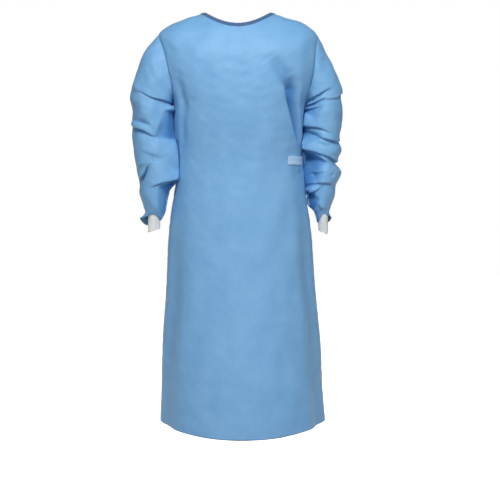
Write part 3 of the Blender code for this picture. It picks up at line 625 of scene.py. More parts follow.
def facet_depth(points, facet):
    """How far a facet presses the cloth in: straight between its corners, and 0 outside them."""
    a, b, c = (np.array(corner) for corner in facet.corners)
    across, up = np.abs(points[..., 0]) - c[0], points[..., 2] - c[1]
    area = (a[0] - c[0]) * (b[1] - c[1]) - (b[0] - c[0]) * (a[1] - c[1])
    share_a = (across * (b[1] - c[1]) - (b[0] - c[0]) * up) / area
    share_b = ((a[0] - c[0]) * up - across * (a[1] - c[1])) / area
    shares = np.stack([share_a, share_b, 1 - share_a - share_b])
    within = smooth_step(shares.min(axis=0), -0.02, 0.02)
    return within * np.maximum(np.tensordot((a[2], b[2], c[2]), shares, 1), 0.0)


def faceted(points, side):
    """How the front and back facets of a sleeve move its points."""
    moves = np.zeros_like(points)
    middle_y = points[:, :-1, 1].mean(axis=1, keepdims=True)
    for facets, way in ((FRONT_FACETS, 1.0), (BACK_FACETS, -1.0)):
        this_face = smooth_step((middle_y - points[..., 1]) * way, 0.0, 0.012)
        depth = sum(facet_depth(points, facet) for facet in facets[side])
        room = np.abs(points[..., 1] - middle_y) * 0.9
        moves[..., 1] += way * np.minimum(depth * this_face, room)
    for _ in range(2):
        moves[1:-1] = (moves[:-2] + 2 * moves[1:-1] + moves[2:]) / 4
        moves[:, 1:-1] = (moves[:, :-2] + 2 * moves[:, 1:-1] + moves[:, 2:]) / 4
    return moves


def unrest(broad, fine, heights):
    """Two ripples at their heights."""
    return (heights[0] * broad + heights[1] * fine)[..., None]


def ripple(points, size, seed):
    """Small even unrest, from -1 to 1, with waves of about one size."""
    rng = np.random.RandomState(seed)
    total = np.zeros(points.shape[:-1])
    waves = 9
    for _ in range(waves):
        way = unit(rng.normal(size=3)) * 2 * math.pi / (size * rng.uniform(0.7, 1.5))
        total += np.sin(points @ way + rng.uniform(0, 2 * math.pi))
    return total / math.sqrt(waves)


BODY_DEGREES = np.arange(-216.0, 217.0, 1.5)
BODY_GRID = body(np.linspace(0, HEM, 8 * HEM + 1)[:, None], BODY_DEGREES[None, :])


def on_body(degrees, z):
    return on_grid(BODY_GRID, BODY_DEGREES, degrees, z)


BODY_ROUTES = [surface_route(crease.route, on_body) for crease in BODY_CREASES]


def painted_shade_share(depth):
    """Share of painted shade: 0 on open cloth, up to 1 where it is pressed deep into a fold or
    crease.
    """
    return smooth_step(depth, PAINTED_SHADE_START, PAINTED_SHADE_FULL)


def creased_body(points, out, keep):
    """A panel's points with the body's creases and unrest. Keep is 0 where it must not move."""
    moves = sum(crease_moves(points, out, route, crease)
                for route, crease in zip(BODY_ROUTES, BODY_CREASES))
    broad, fine = ripple(points * (1, 1, 0.35), 0.070, 3), ripple(points, 0.022, 4)
    moves = moves + out * unrest(broad, fine, BODY_UNREST)
    return points + moves * keep[..., None]


# ---- Meshes ----
def seam_fall(distance, run):
    """How far a seam pulls the cloth in at a distance from it, with small puckers along it."""
    wave = 0.5 + 0.5 * np.sin(2 * math.pi * run / PUCKER_PITCH + 1.7 * np.sin(run * 61))
    return (SEAM_DIP * np.exp(-(distance / SEAM_WIDTH) ** 2)
            + PUCKER * wave * np.exp(-((distance - 0.007) / 0.006) ** 2))


def mesh_of(name, form):
    """A smooth-shaded mesh from a bmesh, which is freed."""
    data = bpy.data.meshes.new(name)
    form.to_mesh(data)
    form.free()
    data.shade_smooth()
    return data


def add_object(name, data):
    made = bpy.data.objects.new(name, data)
    bpy.context.scene.collection.objects.link(made)
    return made


def running_length(points, axis):
    """The length along a grid's rows or columns, from its first edge."""
    step = np.linalg.norm(np.diff(points, axis=axis), axis=-1)
    length = np.cumsum(step, axis=axis)
    start = np.zeros_like(np.take(length, [0], axis=axis))
    return np.concatenate([start, length], axis=axis)


def sheet_mesh(name, points, tube=False, fields=None, inside=None):
    """A sheet from a grid of points, with its UV map in metres and its named fields."""
    rows, columns = points.shape[:2]
    form = bmesh.new()
    bmesh.ops.create_grid(form, x_segments=columns - 1, y_segments=rows - 1, size=1)
    data = mesh_of(name, form)
    data.vertices.foreach_set("co", points.astype(np.float32).ravel())
    across = running_length(points, 1)
    across = np.broadcast_to(np.median(across, axis=0), across.shape)
    down = np.broadcast_to(np.median(running_length(points, 0), axis=1)[:, None], across.shape)
    corner = np.empty(len(data.loops), dtype=np.int32)
    data.loops.foreach_get("vertex_index", corner)
    layer = data.uv_layers.new(name="cut")
    places = np.stack([across, down], axis=-1).reshape(-1, 2)[corner]
    layer.data.foreach_set("uv", places.astype(np.float32).ravel())
    for field, values in (fields or {}).items():
        data.attributes.new(field, "FLOAT", "POINT").data.foreach_set(
            "value", values.astype(np.float32).ravel())
    form = bmesh.new()
    form.from_mesh(data)
    if tube:
        bmesh.ops.remove_doubles(form, verts=form.verts[:], dist=1e-6)
    bmesh.ops.recalc_face_normals(form, faces=form.faces[:])
    form.faces.ensure_lookup_table()
    probe = form.faces[len(form.faces) // 2]
    if inside is not None and (probe.calc_center_median() - Vector(inside)).dot(probe.normal) < 0:
        bmesh.ops.reverse_faces(form, faces=form.faces[:])
    form.to_mesh(data)
    form.free()
    return data


def add_piece(name, mesh, node, look, wall=0.0):
    """A finished piece, which stands for its CAD node."""
    piece = add_object(name, mesh)
    mesh.materials.clear()
    mesh.materials.append(look)
    if wall:
        thick = piece.modifiers.new("wall", "SOLIDIFY")
        thick.thickness = wall
        thick.offset = -1.0
    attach(piece, "root")
    if node:
        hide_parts(node)
    return piece


# ---- Materials ----
def add_node(tree, kind, inputs=None, **settings):
    """A shader node, with its settings and its inputs: values, or sockets to join."""
    made = tree.nodes.new(kind)
    for name, value in settings.items():
        setattr(made, name, value)
    for name, value in (inputs or {}).items():
        if isinstance(value, bpy.types.NodeSocket):
            tree.links.new(value, made.inputs[name])
        else:
            made.inputs[name].default_value = value
    return made


def maths(tree, operation, *values):
    inputs = dict(enumerate(values))
    return add_node(tree, "ShaderNodeMath", inputs, operation=operation).outputs[0]


def times(tree, *values):
    return maths(tree, "MULTIPLY", *values)


def sine(tree, place, pitch):
    """A wave along a place."""
    return maths(tree, "SINE", times(tree, place, 2 * math.pi / pitch))


def tinted(colour, *shares):
    """A colour with a share of each of its parts, or one share of them all."""
    shares = shares if len(shares) > 1 else shares * 3
    return tuple(share * value for share, value in zip(shares, colour)) + (1,)


def mixed(tree, share, first, second):
    node = add_node(tree, "ShaderNodeMix", {0: share, 6: first, 7: second}, data_type="RGBA")
    return node.outputs[2]


def noise(tree, where, scale, detail=2.0):
    inputs = {"Vector": where, "Scale": scale, "Detail": detail}
    return add_node(tree, "ShaderNodeTexNoise", inputs).outputs["Fac"]


def bump(tree, height, distance, strength=1.0, under=None):
    inputs = {"Height": height, "Distance": distance, "Strength": strength}
    if under is not None:
        inputs["Normal"] = under
    return add_node(tree, "ShaderNodeBump", inputs).outputs["Normal"]


def cut_places(tree):
    """The piece's own UV map, in metres, whole and as its two directions."""
    where = add_node(tree, "ShaderNodeUVMap", uv_map="cut").outputs["UV"]
    parts = add_node(tree, "ShaderNodeSeparateXYZ", {"Vector": where})
    return where, parts.outputs["X"], parts.outputs["Y"]


def field(tree, name):
    return add_node(tree, "ShaderNodeAttribute", attribute_name=name).outputs["Fac"]


def new_look(name, roughness, sheen, specular=0.25):
    look = bpy.data.materials.new(name)
    look.use_nodes = True
    shader = look.node_tree.nodes["Principled BSDF"]
    shader.inputs["Roughness"].default_value = roughness
    shader.inputs["Sheen Weight"].default_value = sheen
    shader.inputs["Sheen Roughness"].default_value = 0.45
    shader.inputs["Specular IOR Level"].default_value = specular
    return look, look.node_tree, shader


def bond_points(tree, across, down, pitch):
    """1 at the small welded points of the nonwoven, in diagonal rows, and 0 between them."""
    first = sine(tree, maths(tree, "ADD", across, down), pitch)
    second = sine(tree, maths(tree, "SUBTRACT", across, down), pitch)
    peak = times(tree, first, second)
    return maths(tree, "SMOOTH_MAX", maths(tree, "SUBTRACT", peak, 0.35), 0.0, 0.1)


def stitch_line(tree, distance, run, offset, pitch, thread):
    """1 on a row of stitches that runs at an offset from a seam."""
    off = maths(tree, "ABSOLUTE", maths(tree, "SUBTRACT", distance, offset))
    on_line = maths(tree, "LESS_THAN", off, thread)
    share = maths(tree, "FRACT", maths(tree, "DIVIDE", run, pitch))
    return times(tree, on_line, maths(tree, "LESS_THAN", share, 0.68))


def nonwoven(name, light, dark):
    """Spunbond cloth: mottled fibres, welded points in diagonal rows, a faint sheen, and painted
    shade where folds and creases press it in.
    """
    look, tree, shader = new_look(name, 0.52, 0.05, 0.5)
    where, across, down = cut_places(tree)
    patches = noise(tree, where, 16.0, 3.0)
    fibres = noise(tree, where, 620.0, 3.0)
    long_fibres = noise(tree, add_node(tree, "ShaderNodeMapping", {
        "Vector": where, "Scale": (260.0, 46.0, 1.0)}).outputs["Vector"], 1.0, 2.0)
    points = bond_points(tree, across, down, 0.0030)
    all_fibres = maths(tree, "ADD", times(tree, fibres, 0.35), times(tree, long_fibres, 0.25))
    mottle = maths(tree, "ADD", times(tree, patches, 0.40), all_fibres)
    share = add_node(tree, "ShaderNodeMapRange", {
        "Value": mottle, "From Min": 0.36, "From Max": 0.64}).outputs["Result"]
    colour = mixed(tree, share, dark, light)
    colour = mixed(tree, times(tree, points, 0.16), colour, tinted(dark, 0.6))
    # Painted shade: the cloth's colour is darkened where folds and creases press it in.
    painted_shade = times(tree, field(tree, "hollow_shade"), 0.75)
    colour = mixed(tree, painted_shade, colour, tinted(dark, *PAINTED_SHADE_TINT))
    normal = bump(tree, patches, 0.0012, 0.5)
    normal = bump(tree, fibres, 0.00018, 0.7, normal)
    normal = bump(tree, times(tree, points, -1.0), 0.00012, 0.7, normal)
    seam, run = field(tree, "seam"), field(tree, "run")
    stitches = stitch_line(tree, seam, run, *SEAM_STITCHES)
    colour = mixed(tree, times(tree, stitches, 0.35), colour, tinted(dark, 0.45))
    normal = bump(tree, stitches, 0.0004, 0.8, normal)
    tree.links.new(colour, shader.inputs["Base Color"])
    tree.links.new(normal, shader.inputs["Normal"])
    return look


def woven_tape(name, light, dark, thread):
    """Narrow woven tape: threads over and under each other."""
    look, tree, shader = new_look(name, 0.78, 0.18)
    where, across, down = cut_places(tree)
    weave = times(tree, sine(tree, across, thread), sine(tree, down, thread))
    slub = noise(tree, where, 240.0, 3.0)
    share = maths(tree, "MULTIPLY_ADD", weave, 0.18, slub)
    tree.links.new(mixed(tree, share, dark, light), shader.inputs["Base Color"])
    normal = bump(tree, weave, 0.00012, 0.8)
    normal = bump(tree, slub, 0.0002, 0.6, normal)
    tree.links.new(normal, shader.inputs["Normal"])
    return look


def rib_knit(name, light, dark):
    """Rib knit: small chevron stitches up each rib, with a soft nap, and painted shade in the
    grooves between the ribs.
    """
    look, tree, shader = new_look(name, 0.88, 0.22)
    where, across, down = cut_places(tree)
    place = maths(tree, "FRACT", maths(tree, "DIVIDE", across, KNIT_STITCH))
    slant = times(tree, maths(tree, "ABSOLUTE", maths(tree, "SUBTRACT", place, 0.5)), 1.1)
    loops = sine(tree, maths(tree, "ADD", maths(tree, "DIVIDE", down, KNIT_STITCH), slant), 1)
    nap = noise(tree, where, 900.0, 2.0)
    share = maths(tree, "MULTIPLY_ADD", loops, 0.22, maths(tree, "MULTIPLY_ADD", nap, 0.6, 0.25))
    shade = mixed(tree, share, dark, light)
    # Painted shade: the grooves between the ribs are darkened.
    shade = mixed(tree, times(tree, field(tree, "rib"), 0.25), shade, dark)
    tree.links.new(shade, shader.inputs["Base Color"])
    normal = bump(tree, loops, 0.00025, 0.8)
    normal = bump(tree, nap, 0.00015, 0.5, normal)
    tree.links.new(normal, shader.inputs["Normal"])
    return look


def touch_tape(name, light, dark, pitch, spread):
    """Hooks or loops of touch tape, in rows or as a nap."""
    look, tree, shader = new_look(name, 0.92, 0.25)
    where, across, down = cut_places(tree)
    rows = times(tree, sine(tree, across, pitch), sine(tree, down, pitch))
    nap = noise(tree, where, 700.0, 3.0)
    height = maths(tree, "MULTIPLY_ADD", rows, 1 - spread, times(tree, nap, spread))
    share = maths(tree, "MULTIPLY_ADD", height, 0.5, 0.5)
    tree.links.new(mixed(tree, share, dark, light), shader.inputs["Base Color"])
    tree.links.new(bump(tree, height, 0.0005, 0.8), shader.inputs["Normal"])
    return look


KNIT_STITCH = 0.0016
PAINTED_SHADE_TINT = (0.35, 0.60, 0.78)       # what is left of each colour in the painted shade of folds and creases
GOWN_LIGHT, GOWN_DARK = (0.195, 0.440, 0.735, 1), (0.142, 0.368, 0.665, 1)
GOWN_LOOK = nonwoven("gown_nonwoven", GOWN_LIGHT, GOWN_DARK)
BELT_LOOK = nonwoven("belt_nonwoven", (0.480, 0.710, 0.960, 1), (0.410, 0.640, 0.920, 1))
BINDING_LOOK = woven_tape(
    "binding_tape", (0.085, 0.170, 0.340, 1), (0.045, 0.105, 0.235, 1), 0.0012)
CUFF_LOOK = rib_knit("cuff_rib_knit", (0.980, 0.985, 0.970, 1), (0.920, 0.930, 0.925, 1))
HOOK_LOOK = touch_tape("hook_tape", (0.80, 0.84, 0.90, 1), (0.55, 0.62, 0.72, 1), 0.0016, 0.25)
LOOP_LOOK = touch_tape("loop_tape", (0.84, 0.87, 0.92, 1), (0.60, 0.66, 0.75, 1), 0.0011, 0.8)
THREAD_LOOK = woven_tape("thread", (0.16, 0.30, 0.52, 1), (0.08, 0.17, 0.34, 1), 0.0006)


# ---- Panels ----
def finish_panel(points, out, dip, rows, edges, edge_wave=0.0):
    """A panel's points creased, with its seams pulled in, and its fields. Edges are its seamed
    sides: 0, -1 or both."""
    def from_edge(edge):
        return np.linalg.norm(points - points[:, edge:][:, :1], axis=-1)

    distance = np.minimum.reduce([from_edge(edge) for edge in edges])
    beside = smooth_step(rows, SHOULDER_TIP - 1.4, SHOULDER_TIP - 0.1)
    beside = (beside * (1 - smooth_step(rows, UNDERARM + 0.1, UNDERARM + 1.0)))[:, None]
    keep = 1 - beside * (1 - smooth_step(distance, 0.0, 0.016))
    keep = keep * smooth_step(running_length(points, 0), 0.004, 0.026)
    creased = creased_body(points, out, keep)
    # The share of painted shade, from how deep the folds and creases press the cloth in.
    hollow_shade = painted_shade_share((dip + ((points - creased) * out).sum(axis=-1)) * 0.6)
    run = np.broadcast_to(running_length(points, 0)[:, :1], distance.shape)
    creased -= out * seam_fall(distance, run)[..., None]
    if edge_wave:
        away = from_edge(-1)
        wave = np.sin(run / 0.031 + 1.3 * np.sin(run / 0.09)) * np.exp(-(away / 0.03) ** 2)
        creased += out * (np.maximum(edge_wave * wave, -0.001) * keep)[..., None]
    return creased, {"seam": distance, "run": run, "hollow_shade": hollow_shade}


def front_grid():
    rows = panel_rows()
    start, end = (side * (90 - ARMHOLES[side].front * armhole_share(rows)) for side in (-1, 1))
    degrees = start[:, None] + (end - start)[:, None] * np.linspace(0, 1, FRONT_COLUMNS + 1)
    dip = fold_depth(degrees, smooth_body(rows[:, None], degrees)[..., 2])
    return rows, body(rows[:, None], degrees), body_normal(rows[:, None], degrees), dip


def back_grid(side, free_edge):
    """One back piece, from its side seam round to its free edge."""
    rows = panel_rows()
    start = side * (90 + ARMHOLES[side].back * armhole_share(rows))
    degrees = start[:, None] + (free_edge - start)[:, None] * np.linspace(0, 1, BACK_COLUMNS + 1)
    points = body(rows[:, None], degrees, lap(degrees) if side < 0 else 0.0)
    return rows, points, body_normal(rows[:, None], degrees), fold_depth(degrees, points[..., 2])


def add_front():
    rows, points, out, dip = front_grid()
    points, fields = finish_panel(points, out, dip, rows, (0, -1))
    name = "front_panel_cloth"
    mesh = sheet_mesh(name, points, fields=fields, inside=(0, 0, -0.7))
    piece = add_piece(name, mesh, "front_panel", GOWN_LOOK, CLOTH_WALL)


def add_backs():
    for side, node, free_edge, flat, area in (
            (-1, "back_panel_right", OUTER_EDGE, (0.480, 1.265), 0.504),
            (1, "back_panel_left", INNER_EDGE, (0.455, 1.260), 0.476)):
        rows, points, out, dip = back_grid(side, free_edge)
        points, fields = finish_panel(points, out, dip, rows, (0,), 0.0022 if side < 0 else 0.0)
        name = node + "_cloth"
        mesh = sheet_mesh(name, points, fields=fields, inside=(0, 0, -0.7))
        piece = add_piece(name, mesh, node, GOWN_LOOK, CLOTH_WALL)


def add_sleeve(arm, node):
    turns, form = sleeve_form(arm)
    form = clear_of_body(laid_on_body(form, turns, HUGS[arm.side]))
    out = grid_normals(form, tube=True)
    out *= np.sign((out[-30] * (form[-30] - form[-30].mean(0))).sum())

    def on_sleeve(turn, z):
        return on_grid(form, turns, (turn + 180) % 360 - 180, z)

    moves = np.zeros_like(form)
    for crease in SLEEVE_CREASES[arm.side]:
        moves += crease_moves(form, out, surface_route(crease.route, on_sleeve), crease)
    for dent in SLEEVE_DENTS[arm.side]:
        gap = np.linalg.norm(form - on_sleeve(dent.turn, dent.z), axis=-1)
        moves -= out * (dent.depth * np.exp(-(gap / dent.radius) ** 2))[..., None]
    moves += faceted(form, arm.side)
    broad, fine = ripple(form, 0.052, 11 + arm.side), ripple(form, 0.018, 21 + arm.side)
    moves += out * unrest(broad, fine, SLEEVE_UNREST)
    # The share of painted shade, from how far the creases, dents and facets press the cloth in.
    hollow_shade = painted_shade_share(-(moves * out).sum(axis=-1))
    from_armhole = running_length(form, 0)
    to_wrist = from_armhole[-1] - from_armhole
    keep = smooth_step(from_armhole, 0.0, 0.014) * smooth_step(to_wrist, -0.004, 0.022)
    points = clear_of_body(form + moves * keep[..., None])
    round_armhole = np.broadcast_to(running_length(form[:1], 1), from_armhole.shape)
    underarm = np.minimum(np.linalg.norm(form - form[:, :1], axis=-1),
                          np.linalg.norm(form - form[:, -1:], axis=-1))
    nearer_armhole = from_armhole < underarm
    seam = np.where(nearer_armhole, from_armhole, underarm)
    run = np.where(nearer_armhole, round_armhole, from_armhole)
    points -= out * seam_fall(seam, run)[..., None]
    points[:, -1] = points[:, 0]
    name = node + "_cloth"
    mesh = sheet_mesh(name, points, tube=True, fields={"seam": seam, "run": run, "hollow_shade": hollow_shade},
                      inside=(arm.side * 0.26, arm.rings[3].centre_y, -0.42))
    piece = add_piece(name, mesh, node, GOWN_LOOK, CLOTH_WALL)


# ---- Cuffs ----
RIBS, RIB_COLUMNS, RIB_DEPTH = 52, 6, 0.00055
CUFF_ROWS = 46


def add_cuff(side, node):
    """A rib-knit tube, a little collapsed, with its ribs in the mesh."""
    columns = RIBS * RIB_COLUMNS
    turn = np.linspace(-math.pi, math.pi, columns + 1)
    rings = np.array([cuff_points(side, ring, turn) for ring in CUFFS[side]])
    rings[-1, :, 2] -= CUFF_TILT * np.cos(turn)
    place = np.linspace(0, 2, CUFF_ROWS + 1)
    points = between_rows(rings.reshape(3, -1), place).reshape(CUFF_ROWS + 1, columns + 1, 3)
    out = grid_normals(points, tube=True)
    out *= np.sign((out[10] * (points[10] - points[10].mean(0))).sum())
    rib = 0.5 + 0.5 * np.cos(turn * RIBS)
    rib = np.broadcast_to(rib, points.shape[:2])
    slack = smooth_step(place, 0.7, 2.0)[:, None]
    wave = 0.0016 * np.sin(3 * turn + 0.6 * side) * slack + 0.0009 * np.sin(7 * turn + 2.0) * slack
    points = points + out * (-RIB_DEPTH * (1 - rib) + np.minimum(wave, 0.001))[..., None]
    points[-1, :, 2] += 0.0012 * np.sin(5 * turn + side)
    points[:, -1] = points[:, 0]
    name = node + "_knit"
    # The rib field is 1 in the grooves between the ribs, where the knit paints shade.
    mesh = sheet_mesh(name, points, tube=True, fields={"rib": 1 - rib},
                      inside=(side * 0.257, ARMS[side].rings[-1].centre_y, -0.63))
    piece = add_piece(name, mesh, node, CUFF_LOOK, KNIT_WALL)


# ---- Neck binding ----
def neck_edge():
    """The neck edge and the way down from it, from the inner back's edge to the outer's."""
    left, front, right = (points[:2] for points in (
        back_grid(1, INNER_EDGE)[1], front_grid()[1], back_grid(-1, OUTER_EDGE)[1]))
    whole = np.concatenate([left[:, ::-1], front[:, ::-1][:, 1:], right[:, 1:]], axis=1)
    return whole[0], unit(whole[1] - whole[0])


def add_binding():
    edge, down = neck_edge()
    along = unit(np.gradient(edge, axis=0))
    out = unit(np.cross(along, down))
    middle = len(edge) // 2
    out *= 1.0 if out[middle][1] < 0 else -1.0
    half = CLOTH_WALL / 2 + BINDING_CLEARANCE + BINDING_WALL
    bend = np.linspace(0, math.pi, 9)
    legs = np.linspace(1, 0, 5)[:-1] * (BINDING_LEG - half)
    profile = [(half, drop) for drop in legs]
    profile += [(half * math.cos(a), -half * math.sin(a)) for a in bend]
    profile += [(-half, drop) for drop in legs[::-1]]
    centre = edge - out * (CLOTH_WALL / 2)
    points = np.array([centre + out * side + down * drop for side, drop in profile])
    swell = 0.00025 * ripple(points, 0.012, 31)
    outer_side = np.array([1.0 if side > 0 else 0.0 for side, _ in profile])[:, None]
    points = points + out * (swell * outer_side)[..., None]
    run = np.broadcast_to(running_length(edge[None], 1)[0], points.shape[:2])
    mesh = sheet_mesh("neck_binding_tape", points, fields={"run": run}, inside=(0, 0.0, -0.3))
    piece = add_piece("neck_binding_tape", mesh, "neck_binding",
                      BINDING_LOOK, BINDING_WALL)
    path = centre + out * (half + 0.0002) + down * (BINDING_LEG - 0.0022)
    thread = add_stitches("neck_binding_stitches", path, out, STITCH_PITCH)


def add_stitches(name, path, out, pitch):
    """A row of short raised threads along a path."""
    length = running_length(path[None], 1)[0]

    def at(place, table):
        return np.array([np.interp(place, length, table[:, axis]) for axis in range(3)])

    form = bmesh.new()
    for k in range(int(length[-1] / pitch)):
        middle, half = (k + 0.5) * pitch, pitch * STITCH_SHARE
        start, end = at(middle - half, path), at(middle + half, path)
        add_thread(form, start, end, at(middle, out), THREAD_RADIUS)
    bmesh.ops.recalc_face_normals(form, faces=form.faces[:])
    return add_piece(name, mesh_of(name, form), None, THREAD_LOOK)


def add_thread(form, start, end, way, radius):
    """One stitch: a small capsule that dips at its ends."""
    made = bmesh.ops.create_uvsphere(form, u_segments=6, v_segments=4, radius=1.0)
    run = end - start
    side = np.cross(run, way)
    side /= np.linalg.norm(side)
    middle, half = (start + end) / 2, np.linalg.norm(run) / 2
    run = run / (2 * half)
    for vert in made["verts"]:
        x, y, z = vert.co
        vert.co = Vector(middle + run * (z * half) + side * (x * radius) + way * (y * radius))


# ---- Belt ----
def belt_band(start, end, lift_of, columns, rows=9):
    """Points of a belt strip round the body, top edge first, with its edges a little slack."""
    degrees = np.linspace(start, end, columns + 1)
    top, bottom = row_at_height(BELT_TOP), row_at_height(BELT_TOP - BELT_WIDTH)
    share = np.linspace(0, 1, rows)
    lift = lift_of(degrees)[None, :] + STRIP_WALL
    fold_line = 0.00035 * np.exp(-((share - 0.5) / 0.06) ** 2)[:, None]
    points = body((top + (bottom - top) * share)[:, None], degrees[None, :], lift - fold_line,
                  folded=False)
    sag = 0.0009 * np.sin(np.radians(degrees) * 9)[None, :] * np.ones((rows, 1))
    points[..., 2] += sag * smooth_step(degrees, start, start + 12)[None, :]
    return points, degrees


def add_belt_strips():
    weld_lift = LAP + 2 * SEAM_GAP

    def front_lift(degrees):
        return SEAM_GAP + (BELT_LIFT - SEAM_GAP) * smooth_step(degrees, 52.0, 66.0)

    def back_lift(degrees):
        return BELT_LIFT + (weld_lift - BELT_LIFT) * smooth_step(degrees, KNOT_END, 149.0)

    strips = (("belt_front_tie", BELT_START, KNOT_START - KNOT_CLEARANCE, front_lift, 90, 0.185),
              ("belt_back_tie", KNOT_END + KNOT_CLEARANCE, BELT_BACK_START, back_lift, 40, 0.070))
    for node, start, end, lift_of, columns, length in strips:
        points, degrees = belt_band(start, end, lift_of, columns)
        weld = start if node == "belt_front_tie" else end
        run = np.radians(np.abs(degrees - weld)) * FOLD_RADIUS
        run = np.broadcast_to(run, points.shape[:2])
        edge = np.minimum(np.arange(points.shape[0]), np.arange(points.shape[0])[::-1])[:, None]
        edge = edge * BELT_WIDTH / (points.shape[0] - 1) + 0 * run
        name = node + "_strip"
        mesh = sheet_mesh(name, points, fields={"seam": edge, "run": run}, inside=(0, 0, -0.446))
        piece = add_piece(name, mesh, node, BELT_LOOK, STRIP_WALL)


KNOT_MIDDLE = (KNOT_START + KNOT_END) / 2


def knot_frame():
    """The knot's middle on the body, the way out, the way towards the back, and up."""
    row = row_at_height(BELT_TOP - BELT_WIDTH / 2)
    middle = body(np.array(row), np.array(KNOT_MIDDLE), BELT_LIFT, folded=False)
    out = body_normal(np.array(row), np.array(KNOT_MIDDLE))
    up = unit(np.array([0.0, 0.0, 1.0]) - out * out[2])
    return middle, out, np.cross(up, out), up


def knot_band(path, widths, twist=0.0, pleats=3, columns=40):
    """A gathered band of the belt, along (back, up, out) places from the knot's middle."""
    middle, out, back, up = knot_frame()
    along = np.linspace(0, len(path) - 1, columns + 1)
    places = between_rows(np.array(path), along)
    width = between_rows(np.array(widths)[:, None], along)[:, 0]
    spine = middle + places[:, :1] * back + places[:, 1:2] * up + places[:, 2:] * out
    run = unit(np.gradient(spine, axis=0))
    away = unit(spine - (middle + out * 0.004))
    side = unit(np.cross(run, away))
    away = unit(np.cross(side, run))
    across = np.linspace(-1, 1, 13)[:, None]
    ridge = 0.0008 * np.cos(across * math.pi * pleats + twist) - 0.0022 * across ** 2
    return (spine[None] + side[None] * (across * width / 2)[..., None]
            + away[None] * (ridge * np.ones_like(width))[..., None])


def add_knot():
    """A flat tie: one band crosses over the other, and both are gathered where they turn."""
    half_w, half_h = 0.0125, KNOT_HEIGHT / 2
    bands = [
        knot_band([(-0.0145, 0.001, 0.0010), (-0.006, 0.003, 0.0065), (0.003, 0.004, 0.0080),
                   (0.0145, 0.001, 0.0010)], [0.022, 0.015, 0.015, 0.022], 0.4),
        knot_band([(-0.0080, half_h - 0.002, 0.0020), (-0.006, 0.008, 0.0100),
                   (0.002, -0.004, 0.0118),
                   (half_w - 0.005, -half_h + 0.001, 0.0030)], [0.012, 0.016, 0.016, 0.012], 1.1),
        knot_band([(half_w - 0.004, half_h - 0.004, 0.0015), (0.007, 0.006, 0.0080),
                   (0.000, -0.006, 0.0086), (-0.0070, -half_h + 0.001, 0.0025)],
                  [0.010, 0.013, 0.014, 0.013], 2.0),
    ]
    form = bmesh.new()
    middle, out = knot_frame()[:2]
    for points in bands:
        flat = np.zeros(points.shape[:2])
        mesh = sheet_mesh("knot_band", points, fields={"seam": flat + 1, "run": flat},
                          inside=tuple(middle - out * 0.02))
        form.from_mesh(mesh)
        bpy.data.meshes.remove(mesh)
    data = mesh_of("belt_knot_bands", form)
    add_piece("belt_knot_bands", data, "belt_knot", BELT_LOOK, STRIP_WALL)


def add_tail(tail):
    """One free end of the belt, hanging from the knot against the skirt, with a slow twist."""
    top = BELT_TOP - BELT_WIDTH / 2 - KNOT_HEIGHT / 2 - SEAM_GAP
    steps, rows = 60, 9
    share = np.linspace(0, 1, steps + 1)
    row = np.array([row_at_height(top - tail.length * s) for s in share])
    middle = tail.degrees + tail.drift * share
    half_width = math.degrees(BELT_WIDTH / 2 / FOLD_RADIUS) * 0.9
    spread = half_width * (0.45 + 0.55 * smooth_step(share, 0.0, 0.2))
    across = np.linspace(-1, 1, rows)
    degrees = middle[:, None] + spread[:, None] * across[None, :]
    swing = 0.0016 * np.sin(share * 9 + tail.degrees)[:, None] * across[None, :]
    pinch = 0.0024 * (1 - smooth_step(share, 0.0, 0.2))[:, None] * np.cos(across * 5)[None, :]
    lift = TAIL_LIFT + STRIP_WALL + np.maximum(swing + pinch, -0.0016)
    points = body(row[:, None], degrees, lift, folded=False)
    ones = np.ones(points.shape[:2])
    name = tail.name + "_strip"
    mesh = sheet_mesh(name, points, fields={"seam": ones, "run": ones}, inside=(0, 0, -0.5))
    piece = add_piece(name, mesh, tail.name, BELT_LOOK, STRIP_WALL)


def add_neck_patch(patch, look):
    degrees = np.linspace(patch.start, patch.end, 49)[None, :]
    rows = np.linspace(patch.top, patch.bottom, 21)[:, None]
    lift = patch.lift + TAPE_WALL + patch.edge_lift * smooth_step(degrees, 144.0, 149.0)
    points = body(rows, degrees, lift + 0 * rows, folded=False)
    mesh = sheet_mesh(patch.name + "_tape", points, inside=(0, 0, -0.3))
    piece = add_piece(patch.name + "_tape", mesh, patch.name, look, TAPE_WALL)


# ---- Stage ----
FLOOR_Z = -1.490
AMBIENT = 0.18


def aim(made, place, target):
    made.location = place
    made.rotation_euler = (Vector(target) - Vector(place)).to_track_quat("-Z", "Y").to_euler()


def area_light(name, place, target, size, power):
    lamp = bpy.data.lights.new(name, "AREA")
    lamp.shape, lamp.size, lamp.energy = "DISK", size, power
    light = add_object(name, lamp)
    aim(light, place, target)
    return light


def add_stage():
    form = bmesh.new()
    bmesh.ops.create_grid(form, x_segments=4, y_segments=4, size=9.0)
    bmesh.ops.translate(form, vec=(0, 0, FLOOR_Z), verts=form.verts[:])
    floor = add_object("floor", mesh_of("floor", form))
    look = bpy.data.materials.new("pale_floor")
    look.use_nodes = True
    shader = look.node_tree.nodes["Principled BSDF"]
    shader.inputs["Base Color"].default_value = (0.93, 0.93, 0.93, 1)
    shader.inputs["Roughness"].default_value = 0.9
    shader.inputs["Emission Color"].default_value = (1, 1, 1, 1)
    shader.inputs["Emission Strength"].default_value = 0.95
    floor.data.materials.append(look)
    floor.visible_diffuse = False


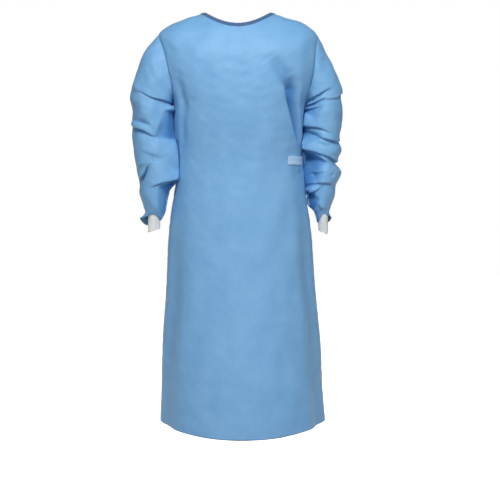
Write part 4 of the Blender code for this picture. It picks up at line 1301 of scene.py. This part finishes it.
def add_light():
    world = bpy.data.worlds.new("studio")
    world.use_nodes = True
    tree = world.node_tree
    tree.nodes["Background"].inputs["Strength"].default_value = AMBIENT
    backdrop = add_node(tree, "ShaderNodeBackground", {"Color": (1, 1, 1, 1), "Strength": 1.0})
    tree.nodes["Background"].inputs["Color"].default_value = (1, 1, 1, 1)
    seen = add_node(tree, "ShaderNodeLightPath").outputs["Is Camera Ray"]
    both = add_node(tree, "ShaderNodeMixShader", {
        0: seen, 1: tree.nodes["Background"].outputs[0], 2: backdrop.outputs[0]})
    tree.links.new(both.outputs[0], tree.nodes["World Output"].inputs["Surface"])
    bpy.context.scene.world = world
    area_light("key", (-0.5, -2.1, 1.40), (0, 0, -0.55), 0.4, 34)
    area_light("second_key", (0.7, -2.1, 1.40), (0, 0, -0.55), 0.4, 27)
    area_light("side_left", (-2.3, -1.9, 0.3), (0, 0, -0.70), 0.8, 9)
    area_light("side_right", (2.3, -1.9, 0.3), (0, 0, -0.70), 0.8, 11)
    skirt = bpy.data.lights.new("skirt", "SPOT")
    skirt.energy, skirt.spot_size, skirt.spot_blend = 50, math.radians(34), 1.0
    skirt.shadow_soft_size = 0.4
    aim(add_object("skirt", skirt), (0.0, -2.8, -0.7), (0, 0, -1.15))
    back = area_light("back", (-0.3, 3.0, 0.6), (0, 0, -0.6), 0.8, 42)
    back.visible_glossy = False         # no hard glints along the shoulders


def add_camera():
    lens = bpy.data.cameras.new("camera")
    lens.lens, lens.sensor_width = 75.36, 36.0
    camera = add_object("camera", lens)
    aim(camera, (0.0365, -3.2, -0.55), (0.0365, 0.0, -0.7171))
    bpy.context.scene.camera = camera
    bpy.context.scene.view_settings.view_transform = "Standard"


def main():
    add_camera()
    add_light()
    add_stage()
    add_front()
    add_backs()
    for arm, node in ((RIGHT_ARM, "sleeve_right"), (LEFT_ARM, "sleeve_left")):
        add_sleeve(arm, node)
    for side, node in ((-1, "cuff_right"), (1, "cuff_left")):
        add_cuff(side, node)
    add_binding()
    add_belt_strips()
    add_knot()
    for tail in TAILS:
        add_tail(tail)
    for patch, look in zip(NECK_PATCHES, (LOOP_LOOK, HOOK_LOOK)):
        add_neck_patch(patch, look)


main()
